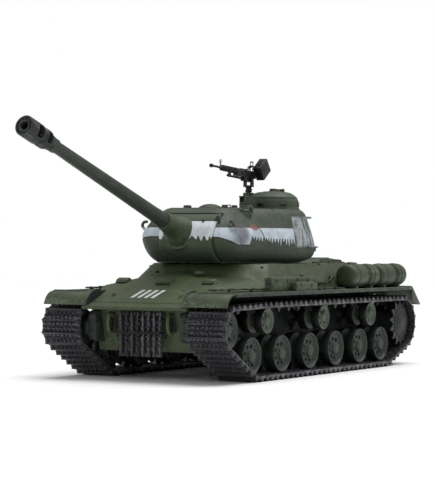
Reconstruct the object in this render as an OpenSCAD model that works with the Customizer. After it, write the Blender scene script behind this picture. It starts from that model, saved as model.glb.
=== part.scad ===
// Radio-controlled heavy tank, 1:16. Front is -Y, the tank's left side is +X, +Z is up.
// The shapes are drawn about the turret axis on the ground and moved to the footprint's centre.

/* [Running gear] */
// Radius of road wheels and idlers
wheel_r = 17.2; // [16.6:0.1:17.6]
// Height of the road wheel axles above the ground
axle_z = 22.9; // [22.5:0.1:23.2]
// Half of the width across both tracks
half_width = 96.5; // [95:0.5:99]
// Width of one track
track_w = 40.6; // [39:0.2:42]
// Number of links in one track
links = 87; // [86:1:88]
// Distance of the first road wheel ahead of the turret axis
first_wheel = 116.5; // [114:0.5:118]
// Radius of the return rollers
roller_r = 12; // [11:0.5:12]

/* [Hull] */
// Half of the width of the lower hull
hull_half = 52; // [50:0.5:52.5]
// Ground clearance
belly_z = 26; // [24:0.5:28]
// Height of the fender top
fender_z = 80; // [79.5:0.1:81]
// Height of the hull roof
roof_z = 105; // [104:0.1:106]
// Wall thickness of the hull mouldings
wall = 2.5; // [2:0.1:3]

/* [Turret] */
// Distance of the gun trunnions ahead of the turret axis
trunnion_y = 80.5; // [80:0.1:81]
// Height of the gun trunnions
trunnion_z = 128.8; // [128.8:0.1:129.2]
// Elevation of the gun as drawn
gun_angle = 18.9; // [17:0.1:19]
// Distance from the trunnions to the muzzle
gun_reach = 280.6; // [270:0.1:290]
// Radius of the commander's cupola
cupola_r = 25.5; // [24.5:0.1:25.5]

/* [Hidden] */
$fn = 48;
SIDES = ["left", "right"];
WHEELS = 6;
ROLLERS = 3;
function side_names(stem, count) =
    [for (side = SIDES) for (i = [1:count]) str(stem, "_", side, "_", i)];

// Colours
GREEN = [0.27, 0.33, 0.26];
DARK_GREEN = [0.20, 0.24, 0.20];
STEEL = [0.20, 0.21, 0.23];
GUNMETAL = [0.12, 0.12, 0.14];

// Running gear layout, in the side plane as [y, z]
track_x = half_width - track_w / 2;
wheel_gaps = [0, 57.5, 57, 54.5, 54, 49];
function sum_to(list, n) = n < 0 ? 0 : list[n] + sum_to(list, n - 1);
wheel_y = [for (i = [0:WHEELS - 1]) -first_wheel + sum_to(wheel_gaps, i)];
roller_z = 53.9;
roller_y = [-88, 26, 131.3];
sprocket_r = 22.8;
run_z = roller_z + roller_r;
idler_at = [-160.4, 47.4];
sprocket_at = [196.9, run_z - sprocket_r];

// Wheel cross sections, measured along the axle from the middle of the track
disc_half = 11.9;
groove_half = 3;
axle_r = 2.5;
running_gap = 0.1;
axle_end = 9.5;

// Track links
link_t = 2.4;
link_l = 9.2;
track_t = axle_z - wheel_r;
horn_h = 5.2;
tooth_lane = 13.4;
tooth_half = 1.2;
tooth_h = 1.2;

// Swing arms: the wheel trails behind and below its pivot
arm_dy = 17;
arm_dz = 10;
arm_x = 54;
arm_t = 6;

// Turret ring and traverse gears
opening_r = 50.6;
skirt_r = 50.3;
ring_in = 44;
ring_teeth = 78;
pinion_teeth = 13;
gear_module = 1.25;
gear_z = 91;
gear_t = 4.5;
pinion_y = gear_module * (ring_teeth + pinion_teeth) / 2;
turret_z = 105.6;
turret_top = 157;

// Mantlet and gun, measured from the trunnions along the bore
mantlet_r = 22.5;
mantlet_x = [-20, 34.5];
pocket_r = mantlet_r + 0.6;
trunnion_r = 3;
sleeve_r = 6.9;
sleeve_end = 64;
muzzle_r = 5.1;
bore_r = 3.8;
brake_l = 40;
brake_r = 9;

// Cupola, hatches and machine gun
cupola_at = [28, 33];
cupola_top = 174.6;
hatch_r = 10.6;
hinge_r = 0.9;
loader_at = [-24, 22];
mg_at = [4, 27];
mg_pivot_z = 186.5;
mg_angle = 4;

// The footprint runs from the muzzle to the rear mudflaps
rear_y = 235;
front_y = -trunnion_y - gun_reach * cos(gun_angle) - (brake_r - 0.8) * sin(gun_angle);
shift_y = -(rear_y + front_y) / 2;

module placed() { translate([0, shift_y, 0]) children(); }

// Draws its children on the left, or mirrored on the right
module on_side(side) { if (side == "left") children(); else mirror([1, 0, 0]) children(); }
module both_sides() { children(); mirror([1, 0, 0]) children(); }

// A solid turned about the X axis, from a profile of [radius, x]
module turned(profile) { rotate([0, 90, 0]) rotate_extrude() polygon(profile); }
module x_rod(r, x0, x1) { translate([x0, 0, 0]) rotate([0, 90, 0]) cylinder(r = r, h = x1 - x0); }
module y_rod(r, y0, y1) { translate([0, y1, 0]) rotate([90, 0, 0]) cylinder(r = r, h = y1 - y0); }

// A block from its lowest to its highest corner
module block(a, b) { translate(a) cube(b - a); }

// A plate whose side outline is [y, z] points, between two x values
module side_plate(outline, x0, x1) {
    translate([x0, 0, 0]) rotate([90, 0, 90]) linear_extrude(x1 - x0) polygon(outline);
}

// ---- Tracks ----

// The belt passes over these circles: [y, z, radius], clockwise seen from the left
belt = [
    [idler_at[0], idler_at[1], wheel_r],
    [roller_y[0], roller_z, roller_r],
    [sprocket_at[0], sprocket_at[1], sprocket_r],
    [wheel_y[WHEELS - 1], axle_z, wheel_r],
    [wheel_y[0], axle_z, wheel_r]
];
pin_line = 1.2;
function wrap(i) = (i + len(belt)) % len(belt);
function heading(i) =
    let (a = belt[i], b = belt[wrap(i + 1)], d = [b[0] - a[0], b[1] - a[1]])
    atan2(d[1], d[0]) + asin((b[2] - a[2]) / norm(d));
function run_length(i) =
    let (a = belt[i], b = belt[wrap(i + 1)], d = norm([b[0] - a[0], b[1] - a[1]]))
    sqrt(d * d - pow(b[2] - a[2], 2));
function turn(i) = let (t = heading(wrap(i - 1)) - heading(i)) t - 360 * floor(t / 360);
function arc_length(i) = turn(i) * PI / 180 * (belt[i][2] + pin_line);
belt_lengths = [for (i = [0:len(belt) - 1]) each [arc_length(i), run_length(i)]];
belt_length = sum_to(belt_lengths, len(belt_lengths) - 1);

// Where the belt is after a length s: [y, z, heading], on the face that the wheels touch
function belt_at(s, k = 0) =
    s > belt_lengths[k] && k < len(belt_lengths) - 1 ? belt_at(s - belt_lengths[k], k + 1)
    : let (i = floor(k / 2), c = belt[i])
      k % 2 == 0
      ? let (h = heading(wrap(i - 1)) - s / (c[2] + pin_line) * 180 / PI)
        [c[0] - c[2] * sin(h), c[1] + c[2] * cos(h), h]
      : let (h = heading(i))
        [c[0] - c[2] * sin(h) + s * cos(h), c[1] + c[2] * cos(h) + s * sin(h), h];

// One shoe: flat inner face at z = 0, grousers outwards, the guide horn inwards
module link(horned) {
    difference() {
        block([-track_w / 2, -link_l / 2, 0], [track_w / 2, link_l / 2, link_t]);
        for (lane = [-tooth_lane, tooth_lane])
            block([lane - tooth_half - 0.5, -link_l, -1], [lane + tooth_half + 0.5, link_l, 1.6]);
    }
    block([-track_w / 2, -1.3, link_t], [track_w / 2, 1.3, track_t]);
    if (horned)
        side_plate([[-3.4, 0.2], [-1.2, -horn_h], [1.2, -horn_h], [3.4, 0.2]], -1.9, 1.9);
}

module track(side) {
    color(STEEL) placed() on_side(side) translate([track_x, 0, 0])
        for (i = [0:links - 1]) {
            at = belt_at(belt_length * (i + 0.5) / links);
            translate([0, at[0], at[1]]) rotate([at[2], 0, 0]) link(i % 2 == 0);
        }
}

// ---- Wheels ----

// A double-disc wheel with a groove for the guide horns and a closed outer hub
module double_disc(r, rim, hub, groove_hub, recess, holes, hole_r) {
    a = disc_half;
    difference() {
        turned([[axle_r + running_gap, -a], [hub, -a], [hub + 1, recess - a], [rim - 0.8, recess - a],
            [rim, -a], [r, -a], [r, -groove_half], [groove_hub, -groove_half],
            [groove_hub, groove_half], [r, groove_half], [r, a], [rim, a], [rim - 0.8, a - recess],
            [hub + 1, a - recess], [hub, a + 0.6], [0, a + 0.6], [0, axle_end + 0.3],
            [axle_r + running_gap, axle_end + 0.3]]);
        for (i = [0:holes - 1])
            rotate([i * 360 / holes, 0, 0]) translate([0, (hub + rim) / 2, 0])
                x_rod(hole_r, a - recess - 2.5, a);
    }
}

module road_wheel(side, i) {
    color(GREEN) placed() on_side(side) translate([track_x, wheel_y[i], axle_z])
        double_disc(wheel_r, 15, 6.5, 8, 3, 8, 1.9);
}

module return_roller(side, i) {
    color(GREEN) placed() on_side(side) translate([track_x, roller_y[i], roller_z])
        double_disc(roller_r, 10.4, 4.6, 5.5, 2, 6, 1.3);
}

module idler(side) {
    color(GREEN) placed() on_side(side) translate([track_x, idler_at[0], idler_at[1]])
        double_disc(wheel_r, 15, 6.5, 8, 2.4, 8, 1.9);
}

module tooth_ring() {
    count = 14;
    root = sprocket_r - 3.4;
    x_rod(root, -tooth_half, tooth_half);
    for (i = [0:count - 1])
        rotate([i * 360 / count, 0, 0])
            side_plate([[-2.6, root - 1.2], [2.6, root - 1.2], [1.1, sprocket_r + tooth_h],
                [-1.1, sprocket_r + tooth_h]], -tooth_half, tooth_half);
}

// Two toothed rings on a drum, with a domed cover and the shaft that enters the gearbox
module sprocket(side) {
    color(STEEL) placed() on_side(side) translate([track_x, sprocket_at[0], sprocket_at[1]]) {
        translate([-tooth_lane, 0, 0]) tooth_ring();
        translate([tooth_lane, 0, 0]) tooth_ring();
        turned([[0, -tooth_lane], [13, -tooth_lane], [12, -8], [12, 8], [13, tooth_lane],
            [12.5, 14.6], [9, 16.4], [4, 17], [0, 17]]);
        x_rod(axle_r, hull_half - track_x - 14, -tooth_lane);
    }
}

// ---- Suspension ----

module swing_arm(side, i) {
    pivot = [wheel_y[i] - arm_dy, axle_z + arm_dz];
    reach = norm([arm_dy, arm_dz]);
    color(DARK_GREEN) placed() on_side(side) translate([0, pivot[0], pivot[1]])
        rotate([-atan(arm_dz / arm_dy), 0, 0]) {
            x_rod(5.2, arm_x, arm_x + arm_t);
            block([arm_x, 0, -3.4], [arm_x + arm_t, reach, 3.4]);
            x_rod(2.9, hull_half - 7, arm_x);
            translate([0, reach, 0]) {
                x_rod(4.6, arm_x, arm_x + arm_t);
                x_rod(axle_r, arm_x, track_x + axle_end);
                x_rod(3.6, arm_x, track_x - disc_half - 0.3);
            }
        }
}

// ---- Hull ----

nose_y = -178;
nose_z = 67;
split_y = -88;
rear_plate_y = 206;
front_plate_y = -161;
tub_outline = [[nose_y + 1.2, 64], [front_plate_y, 63.4], [front_plate_y + 9, belly_z], [196, belly_z],
    [rear_plate_y, 42], [rear_plate_y, fender_z], [split_y, fender_z], [split_y, 64]];
tub_cavity = [[front_plate_y + 2, 65], [front_plate_y + 3, 60],
    [front_plate_y + 11, belly_z + wall], [195, belly_z + wall], [rear_plate_y - wall, 43],
    [rear_plate_y - wall, 90], [split_y + wall, 90], [split_y + wall, 65]];

// Tub with the pivot, roller, idler and shaft bosses
module lower_hull() {
    color(GREEN) placed() {
        difference() {
            side_plate(tub_outline, -hull_half, hull_half);
            side_plate(tub_cavity, wall - hull_half, hull_half - wall);
            both_sides() {
                for (y = wheel_y)
                    translate([0, y - arm_dy, axle_z + arm_dz])
                        x_rod(3, hull_half - 8, hull_half + 1);
                translate([0, sprocket_at[0], sprocket_at[1]])
                    x_rod(axle_r + 0.6, hull_half - 8, hull_half + 1);
            }
        }
        both_sides() {
            for (y = roller_y)
                translate([0, y, roller_z]) {
                    x_rod(5, hull_half, hull_half + 8);
                    x_rod(axle_r, hull_half - 1, track_x + axle_end);
                }
            translate([0, idler_at[0], idler_at[1]]) {
                x_rod(7, hull_half, hull_half + 8);
                x_rod(axle_r, hull_half, track_x + axle_end);
            }
            difference() {
                translate([0, sprocket_at[0], sprocket_at[1]])
                    x_rod(15, hull_half, track_x - tooth_lane - 2.4);
                translate([0, sprocket_at[0], sprocket_at[1]])
                    x_rod(axle_r + 0.6, hull_half - 1, track_x);
            }
        }
    }
}

// The cast front: a sloping glacis up to a ridge, and a gently rising top behind it. The top is
// the plane z = ridge_z - top_x * (|x| - edge_half) + top_y * (y - ridge_y)
nose_half = 55.4;
edge_half = 60;
glacis = 0.383;
top_x = 0.15;
top_y = 0.1;
side_foot = 78;
side_top = 63;
corner_y = -41;
ridge_y = -131;
function glacis_z(y) = nose_z + glacis * (y - nose_y);
function top_z(x, y) = glacis_z(ridge_y) - top_x * (x - edge_half) + top_y * (y - ridge_y);
apex_y = ridge_y + top_x * edge_half / (glacis - top_y);
// Where the glacis reaches the fender
bow_y = nose_y + (fender_z - nose_z) / glacis;

// The convex solid around a list of points and their mirror images
module convex(points) {
    all = [for (p = points) for (m = [-1, 1]) [m * p[0], p[1], p[2]]];
    hull() polyhedron(all, [[for (i = [0:len(all) - 1]) i]]);
}

// Moves a point of the casting inwards by the wall thickness, but not through its floor
function inner(p, inset, floor_z) = [
    max(p[0] - inset, 0),
    p[1] + (p[1] < bow_y ? inset * 1.6 : 0),
    p[2] - (p[2] > floor_z ? inset * 1.25 : 0)
];

module bow(inset, floor_z) {
    crest_y = ridge_y + (1 - nose_half / edge_half) * (apex_y - ridge_y);
    convex([for (p = [[nose_half, nose_y, floor_z], [nose_half, nose_y, nose_z],
        [nose_half, crest_y, glacis_z(crest_y)], [0, apex_y, glacis_z(apex_y)],
        [0, split_y, top_z(0, split_y)], [nose_half, split_y, top_z(nose_half, split_y)],
        [nose_half, split_y, floor_z]]) inner(p, inset, floor_z)]);
}

module shoulders(inset) {
    convex([for (p = [[edge_half, bow_y, fender_z], [edge_half, ridge_y, glacis_z(ridge_y)],
        [0, apex_y, glacis_z(apex_y)], [0, corner_y, top_z(0, corner_y)],
        [edge_half, corner_y, top_z(edge_half, corner_y)], [side_foot, corner_y, fender_z],
        [side_foot, split_y, fender_z], [edge_half + 5, ridge_y, fender_z]])
        inner(p, inset, fender_z)]);
}

// Superstructure: its sides lean inwards, and a wide cone carries the turret
cone_foot = 103;
cone_top = 75;
module superstructure(inset) {
    intersection() {
        translate([0, rear_plate_y, 0]) rotate([90, 0, 0]) linear_extrude(rear_plate_y + 110)
            polygon([[inset - side_foot, fender_z - 1], [side_foot - inset, fender_z - 1],
                [side_top - inset, roof_z - inset], [inset - side_top, roof_z - inset]]);
        union() {
            side_plate([[corner_y + inset, fender_z - 1], [corner_y + inset, roof_z], [150, roof_z],
                [rear_plate_y - inset, 84 - inset], [rear_plate_y - inset, fender_z - 1]],
                -side_foot, side_foot);
            translate([0, 0, fender_z - 1])
                cylinder(r1 = cone_foot - inset, r2 = cone_top - inset, h = roof_z - fender_z + 1, $fn = 96);
        }
    }
}

visor_y = -123.3;
module at_visor() { translate([0, visor_y, glacis_z(visor_y)]) rotate([atan(glacis), 0, 0]) children(); }

module upper_hull() {
    color(GREEN) placed() {
        difference() {
            union() {
                bow(0, 64);
                shoulders(0);
                intersection() {
                    superstructure(0);
                    block([-90, -110, fender_z], [90, 240, roof_z]);
                }
            }
            bow(wall, 60);
            intersection() {
                shoulders(wall);
                block([-90, -180, fender_z + wall], [90, 0, roof_z]);
            }
            intersection() {
                superstructure(wall);
                block([-90, -110, fender_z - 5], [90, 240, roof_z - wall]);
            }
            block([-hull_half, split_y, 60], [hull_half, rear_plate_y, fender_z]);
            translate([0, 0, fender_z]) cylinder(r = opening_r, h = 40, $fn = 96);
            // driver's visor recess
            at_visor() block([-8, -4.6, -0.6], [8, 4.6, 6]);
        }
        at_visor() block([-7, -3.8, -2], [7, 3.8, 2]);
    }
}

// Raised cover over the engine with two fan grilles, and hatches on the sloped rear plate
module engine_deck() {
    z = roof_z;
    color(GREEN) placed() {
        difference() {
            side_plate([[92, z], [101, z + 4], [118, z + 4.6], [147, z + 3], [150, z]], -46, 46);
            for (x = [-27, 27])
                translate([x, 128, z + 1.6]) cylinder(r = 13, h = 4);
        }
        for (x = [-27, 27])
            translate([x, 128, z + 1.6]) {
                for (r = [4, 8.6])
                    difference() {
                        cylinder(r = r + 0.8, h = 1.4);
                        translate([0, 0, -1]) cylinder(r = r - 0.8, h = 4);
                    }
                for (a = [0, 60, 120])
                    translate([0, 0, 0.6]) rotate([0, 0, a]) cube([26.4, 1.2, 1.2], center = true);
            }
        translate([0, 112, z + 4]) cylinder(r = 8.5, h = 2);
        difference() {
            union() {
                for (x = [-26, 26])
                    translate([x, 178, 94.4]) rotate([-20.6, 0, 0]) cylinder(r = 14, h = 2.2);
                for (x = [-52, 52])
                    translate([x, 162, 98]) rotate([-20.6, 0, 0]) block([-4, -8, 0], [4, 8, 8]);
            }
            superstructure(0);
        }
    }
}

fender_t = 1.6;
fender_in = 56.5;

// Top plates with a curved mudguard in front and a sloped flap behind
module fenders() {
    z = fender_z;
    outline = [[-178.4, 68], [-175.8, 74], [-170, 78.6], [-163, z], [215, z], [rear_y, 62],
        [rear_y - 1.6, 61], [214, z - fender_t], [-163, z - fender_t], [-169.4, 77.2],
        [-174.6, 73], [-176.8, 68]];
    color(GREEN) placed() both_sides() {
        side_plate(outline, fender_in + 0.2, half_width);
        // inner and outer flanges of the front mudguard
        side_plate([[-176.8, 68], [-174.6, 73], [-169.4, 77.2], [-163, z - fender_t],
            [-92, z - fender_t], [-92, z - 4], [-150, 73.4], [-171, 70.4]],
            fender_in + 0.2, fender_in + 1.6);
        side_plate([[214, z - fender_t], [rear_y - 1.6, 61], [214, 66]],
            half_width - 1.2, half_width);
        block([half_width - 1, -163, z - 3.2], [half_width, 214.5, z - fender_t + 0.2]);
    }
}

drum_r = 11.5;
drum_l = 62.5;
drum_x = 84.3;
drum_y = [78, 143];

// Drums with domed ends and two hoops, each on two saddles
module fuel_drums() {
    r = drum_r;
    color(GREEN) placed() both_sides()
        for (y = drum_y)
            translate([drum_x, y, fender_z + r + 1.2]) {
                rotate([-90, 0, 0]) rotate_extrude()
                    polygon([[0, 0], [4, 0.4], [8, 2], [r - 0.8, 4.6], [r, 8], [r, 17], [r + 0.5, 17.6],
                        [r + 0.5, 19.4], [r, 20], [r, 41], [r + 0.5, 41.6], [r + 0.5, 43.4], [r, 44],
                        [r, drum_l - 8], [r - 0.8, drum_l - 4.6], [8, drum_l - 2], [4, drum_l - 0.4],
                        [0, drum_l]]);
                for (s = [11, 45])
                    block([-5.4, s, -r - 1.2], [8, s + 4.5, 1.4 - r]);
            }
}

// Four shoes hang side by side below the nose, on two level strips
spare_y = -164.4;
spare_pitch = 11.8;
module spare_track_links() {
    color(STEEL) placed() {
        for (i = [-1.5:1.5])
            translate([i * spare_pitch, spare_y, 42.6]) rotate([90, 90, 0]) difference() {
                union() {
                    block([-track_w / 2, -4.7, 0], [track_w / 2, 4.7, link_t]);
                    block([-track_w / 2, -1.3, link_t], [track_w / 2, 1.3, track_t]);
                }
                for (lane = [-tooth_lane, tooth_lane])
                    block([lane - 1.7, -10, -1], [lane + 1.7, 10, 1.4]);
            }
        difference() {
            for (z = [39, 53])
                block([-25, spare_y, z], [25, spare_y + 14, z + 3]);
            side_plate(tub_outline, -hull_half, hull_half);
        }
    }
}

// A long locker and a toolbox on the left fender, a smaller locker on the right
module stowage_boxes() {
    color(GREEN) placed() {
        block([80.4, -80, fender_z], [87.4, 4, 91.6]);
        block([80, -80.6, 91.6], [87.8, 4.6, 93]);
        block([88.2, -44, fender_z], [94.6, -2, 87]);
        block([87.9, -44.6, 87], [95, -1.4, 88.2]);
        block([-94, 0, fender_z], [-81, 56, 90]);
        block([-94.4, -0.6, 90], [-80.6, 56.6, 91.4]);
    }
}

// Front and rear hooks, each with an eye for a shackle pin: [x, y, z]
hook_eye_r = 1.5;
hook_t = 3;
hooks = [[31.5, -166.5, 49], [38, 211.5, 56]];
module tow_hooks() {
    color(GREEN) placed() both_sides()
        difference() {
            for (h = hooks)
                translate(h) {
                    x_rod(4, -hook_t / 2, hook_t / 2);
                    block([-hook_t / 2, h[1] < 0 ? 0 : -7, -4], [hook_t / 2, h[1] < 0 ? 11 : 0, 4]);
                }
            for (h = hooks)
                translate(h) x_rod(hook_eye_r, -hook_t, hook_t);
            side_plate(tub_outline, 0, hull_half);
        }
}

cable_r = 1;
// Tow cable on each hull side, as straight rods between ball joints
cable_route = [[74, 8, 93], [76.6, 24, 88.6], [77.4, 40, 86.2], [77.2, 56, 87], [74.6, 70, 91.4]];
module tow_cables() {
    color(STEEL) placed() both_sides() {
        for (i = [0:len(cable_route) - 2]) {
            d = cable_route[i + 1] - cable_route[i];
            translate(cable_route[i]) {
                rotate([0, acos(d[2] / norm(d)), atan2(d[1], d[0])]) cylinder(r = cable_r, h = norm(d));
                sphere(r = cable_r + 0.2, $fn = 24);
            }
        }
        for (p = [cable_route[0], cable_route[len(cable_route) - 1]])
            translate(p) sphere(r = cable_r + 0.6, $fn = 24);
    }
}

// ---- Electrics and drive inside the tub ----

floor_z = belly_z + wall;

// Six cells in a tray
module battery_pack() {
    color([0.15, 0.25, 0.5]) placed() {
        for (row = [-1, 1])
            for (i = [0:2])
                translate([row * 10.9, -24 + i * 35, floor_z + 12.2]) y_rod(10.6, -17, 17);
        difference() {
            block([-24, -44, floor_z], [24, 66, floor_z + 9]);
            block([-22.3, -42.3, floor_z + 1.4], [22.3, 64.3, floor_z + 12]);
        }
    }
}

// Circuit board on four posts with its receiver, connectors and heat sink; and the speaker
module control_board() {
    z = floor_z;
    color([0.10, 0.35, 0.16]) placed() {
        block([-30, 84, z + 6], [30, 134, z + 7.6]);
        for (x = [-26, 26])
            for (y = [88, 130])
                translate([x, y, z]) cylinder(r = 2.2, h = 6);
        block([-24, 92, z + 7.6], [-6, 116, z + 12]);
        block([2, 90, z + 7.6], [22, 104, z + 15]);
        for (i = [0:4]) block([-24 + i * 8, 121, z + 7.6], [-18 + i * 8, 129, z + 13]);
        translate([12, 112, z + 7.6]) cylinder(r = 4, h = 9);
        translate([0, -96, z]) {
            cylinder(r = 22, h = 4);
            translate([0, 0, 4]) cylinder(r1 = 22, r2 = 12, h = 7);
            translate([0, 0, 11]) cylinder(r = 12, h = 4);
        }
    }
}

// Two geared motors, each with an output bore for its sprocket's shaft
module drive_units() {
    color([0.55, 0.55, 0.52]) placed() both_sides() {
        difference() {
            side_plate([[156, floor_z], [192, floor_z], [201.5, 45], [201.5, 57], [156, 57]], 31, 44);
            translate([0, sprocket_at[0], sprocket_at[1]]) x_rod(axle_r + running_gap, 37.5, 46);
        }
        translate([0, 169, floor_z + 14.2]) {
            x_rod(13, 4, 31);
            x_rod(4, 2, 4);
        }
    }
}

traverse_post = [16, 64];

// Motor standing upright below the roof, hung on two posts
module traverse_motor() {
    plate_z = 84.6;
    color([0.55, 0.55, 0.52]) placed() {
        translate([0, pinion_y, 60]) cylinder(r = 10, h = plate_z - 60);
        translate([0, pinion_y, plate_z]) cylinder(r = 1.5, h = 11.6);
        block([-19, pinion_y - 5, plate_z], [19, 70, plate_z + 2.4]);
        for (s = [-1, 1])
            translate([s * traverse_post[0], traverse_post[1], plate_z + 2.4])
                cylinder(r = 2.4, h = roof_z - wall - plate_z - 2.4);
    }
}

// A spur gear with straight-sided teeth and a bore
module gear(teeth, bore, t) {
    pitch_r = gear_module * teeth / 2;
    root_r = pitch_r - 1.15 * gear_module;
    tip_r = pitch_r + 0.85 * gear_module;
    a = 360 / teeth;
    flank = [[root_r, -0.32], [tip_r, -0.13], [tip_r, 0.13], [root_r, 0.32]];
    linear_extrude(t) difference() {
        polygon([for (i = [0:teeth - 1]) for (p = flank)
            [p[0] * cos((i + p[1]) * a), p[0] * sin((i + p[1]) * a)]]);
        circle(r = bore);
    }
}

module traverse_pinion() {
    color([0.85, 0.83, 0.75]) placed()
        translate([0, pinion_y, gear_z + 0.3]) rotate([0, 0, -90])
            gear(pinion_teeth, 1.5 + running_gap, gear_t - 0.6);
}

// Toothed ring below the roof and the skirt that rises through the opening
module turret_ring_gear() {
    color([0.85, 0.83, 0.75]) placed() {
        translate([0, 0, gear_z]) rotate([0, 0, 90 + 180 / ring_teeth])
            gear(ring_teeth, ring_in, gear_t);
        translate([0, 0, gear_z + gear_t]) difference() {
            cylinder(r = skirt_r, h = turret_z - gear_z - gear_t, $fn = 96);
            translate([0, 0, -1]) cylinder(r = ring_in, h = 20, $fn = 96);
        }
    }
}

// ---- Turret ----

// Each slice: [z, front corner circle, side circle, rear circle], every circle as [x, y, r]
slices = [
    [turret_z, [22, -64, 18], [18, 26, 36], [0, 54, 30]],
    [110, [24, -68, 21], [24, 37, 38.5], [0, 57, 36.5]],
    [119, [26, -73, 23], [24.5, 39, 41.5], [0, 59, 39.5]],
    [132, [27, -74, 24], [24.5, 37, 40], [0, 58, 38.5]],
    [144, [24, -70, 21], [24, 34, 38], [0, 57, 36]],
    [153, [22, -62, 18], [24, 32, 35.5], [0, 56, 33]],
    [turret_top, [20, -58, 14.5], [22, 31, 34], [0, 54, 30]]
];

module turret_body(inset) {
    hull()
        for (s = slices)
            for (c = [s[1], s[2], s[3]])
                for (m = c[0] == 0 ? [1] : [-1, 1])
                    translate([m * c[0], c[1], min(max(s[0], turret_z + inset), turret_top - inset - 0.02)])
                        cylinder(r = c[2] - inset, h = 0.02, $fn = 40);
}

module at_trunnion() { translate([0, -trunnion_y, trunnion_z]) children(); }
module in_gun() { at_trunnion() rotate([-gun_angle, 0, 0]) children(); }
bracket_x = [
    [mantlet_x[0] - 5.5, mantlet_x[0] - 0.5],
    [mantlet_x[1] + 0.5, mantlet_x[1] + 5.5]
];

module turret_shell() {
    color(GREEN) placed() {
        difference() {
            turret_body(0);
            difference() {
                turret_body(3);
                // brackets that carry the trunnions
                for (x = bracket_x)
                    block([x[0], -100, 100], [x[1], -68, 160]);
            }
            translate([0, 0, turret_z - 1]) cylinder(r = ring_in, h = 6, $fn = 96);
            at_trunnion() {
                x_rod(pocket_r, mantlet_x[0] - 0.5, mantlet_x[1] + 0.5);
                x_rod(trunnion_r + running_gap, mantlet_x[0] - 4.4, mantlet_x[1] + 4.4);
            }
            translate([cupola_at[0], cupola_at[1], 150]) cylinder(r = 20, h = 10);
            block([loader_at[0] - 10, loader_at[1] - 10, 150],
                [loader_at[0] + 10, loader_at[1] + 10, 160]);
        }
        // ventilator dome and sight periscope
        translate([-10, -24, turret_top]) rotate_extrude()
            polygon([[0, 0], [12, 0], [11, 2], [8, 3.8], [4, 4.8], [0, 5]]);
        translate([-20, -50, turret_top]) cylinder(r = 4, h = 3.4);
        translate([8, -8, turret_top]) difference() {
            cube([6.5, 7.5, 13]);
            translate([1, -1, 7.5]) cube([4.5, 2.4, 3.5]);
        }
        for (y = [-7, 5]) loader_lug(y, 2);
    }
}

module loader_lug(y, l) {
    translate([loader_at[0] - 14.5, loader_at[1] + y, turret_top]) difference() {
        union() {
            block([-1.8, 0, -1], [1.8, l, 1.9]);
            translate([0, 0, 1.9]) y_rod(1.8, 0, l);
        }
        translate([0, 0, 1.9]) y_rod(hinge_r + running_gap, -1, l + 1);
    }
}

// A hollow drum about the trunnions, with a flared collar for the barrel
module mantlet() {
    r = mantlet_r;
    color(GREEN) placed() in_gun() difference() {
        union() {
            difference() {
                x_rod(r, mantlet_x[0], mantlet_x[1]);
                x_rod(r - 4, mantlet_x[0] + 3, mantlet_x[1] - 3);
                block([-40, 8, -30], [50, 30, 30]);
            }
            rotate([90, 0, 0]) rotate_extrude()
                polygon([[0, r - 5], [14.5, r - 5], [14, r + 1.5], [11.4, r + 6], [9.2, r + 13],
                    [8.2, r + 27], [0, r + 27]]);
            x_rod(trunnion_r, mantlet_x[0] - 4, mantlet_x[0] + 1);
            x_rod(trunnion_r, mantlet_x[1] - 1, mantlet_x[1] + 4);
        }
        y_rod(sleeve_r + running_gap, -60, 0);
        // telescope opening
        translate([25, 0, 9]) y_rod(1.1, -30, -14);
    }
}

module gun_barrel() {
    l = gun_reach - brake_l;
    color(GREEN) placed() in_gun() {
        rotate([90, 0, 0]) rotate_extrude()
            polygon([[bore_r, -10], [sleeve_r, -10], [sleeve_r, sleeve_end], [muzzle_r, l - 7],
                [6.1, l - 6.5], [6.1, l], [bore_r, l]]);
        block([-8, 10, -6.8], [8, 26, 7.4]);
    }
}

// A double-baffle brake with ports on both sides
module muzzle_brake() {
    l = gun_reach;
    color(GREEN) placed() in_gun() difference() {
        rotate([90, 0, 0]) rotate_extrude()
            polygon([[bore_r, l - brake_l], [6.6, l - brake_l], [6.9, l - 35], [7.9, l - 31],
                [7.9, l - 25], [7.2, l - 24], [8.4, l - 21.5], [brake_r, l - 19], [brake_r, l - 1],
                [brake_r - 0.8, l], [7.2, l], [6.8, l - 1.2], [5.4, l - 1.2], [5, l], [bore_r, l]]);
        block([-12, -l + 10, -5], [12, -l + 18, 5]);
        block([-12, -l + 26, -4.4], [12, -l + 32, 4.4]);
    }
}

// ---- Cupola, hatches and machine gun ----

hatch_hinge = [cupola_at[0], cupola_at[1] + 13.4, 176.4];

module cupola() {
    r = cupola_r;
    color(GREEN) placed() {
        difference() {
            union() {
                translate([cupola_at[0], cupola_at[1], 0]) rotate_extrude()
                    polygon([[20, turret_top], [r, turret_top], [r, 164.6], [24.4, 167.6],
                        [21.6, 170.8], [18, 173.4], [15, 174.4], [12.5, cupola_top],
                        [hatch_r + 0.3, cupola_top], [hatch_r + 0.3, 171.8], [hatch_r - 1.2, 171.8],
                        [hatch_r - 1.2, 170.4], [20, 165]]);
                // seat of the machine gun's pintle
                intersection() {
                    translate([mg_at[0], mg_at[1], 166]) cylinder(r = 5.4, h = 8);
                    translate([cupola_at[0], cupola_at[1], 160]) cylinder(r = 60, h = 20);
                }
            }
            translate([mg_at[0], mg_at[1], 168]) cylinder(r = 2 + running_gap, h = 10);
        }
        // hinge of the hatch
        for (x = [-5, 3])
            translate([hatch_hinge[0] + x, hatch_hinge[1], hatch_hinge[2]]) difference() {
                union() {
                    block([0, -1.7, -3], [2, 1.7, 0]);
                    x_rod(1.7, 0, 2);
                }
                x_rod(hinge_r + running_gap, -1, 3);
            }
    }
}

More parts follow.
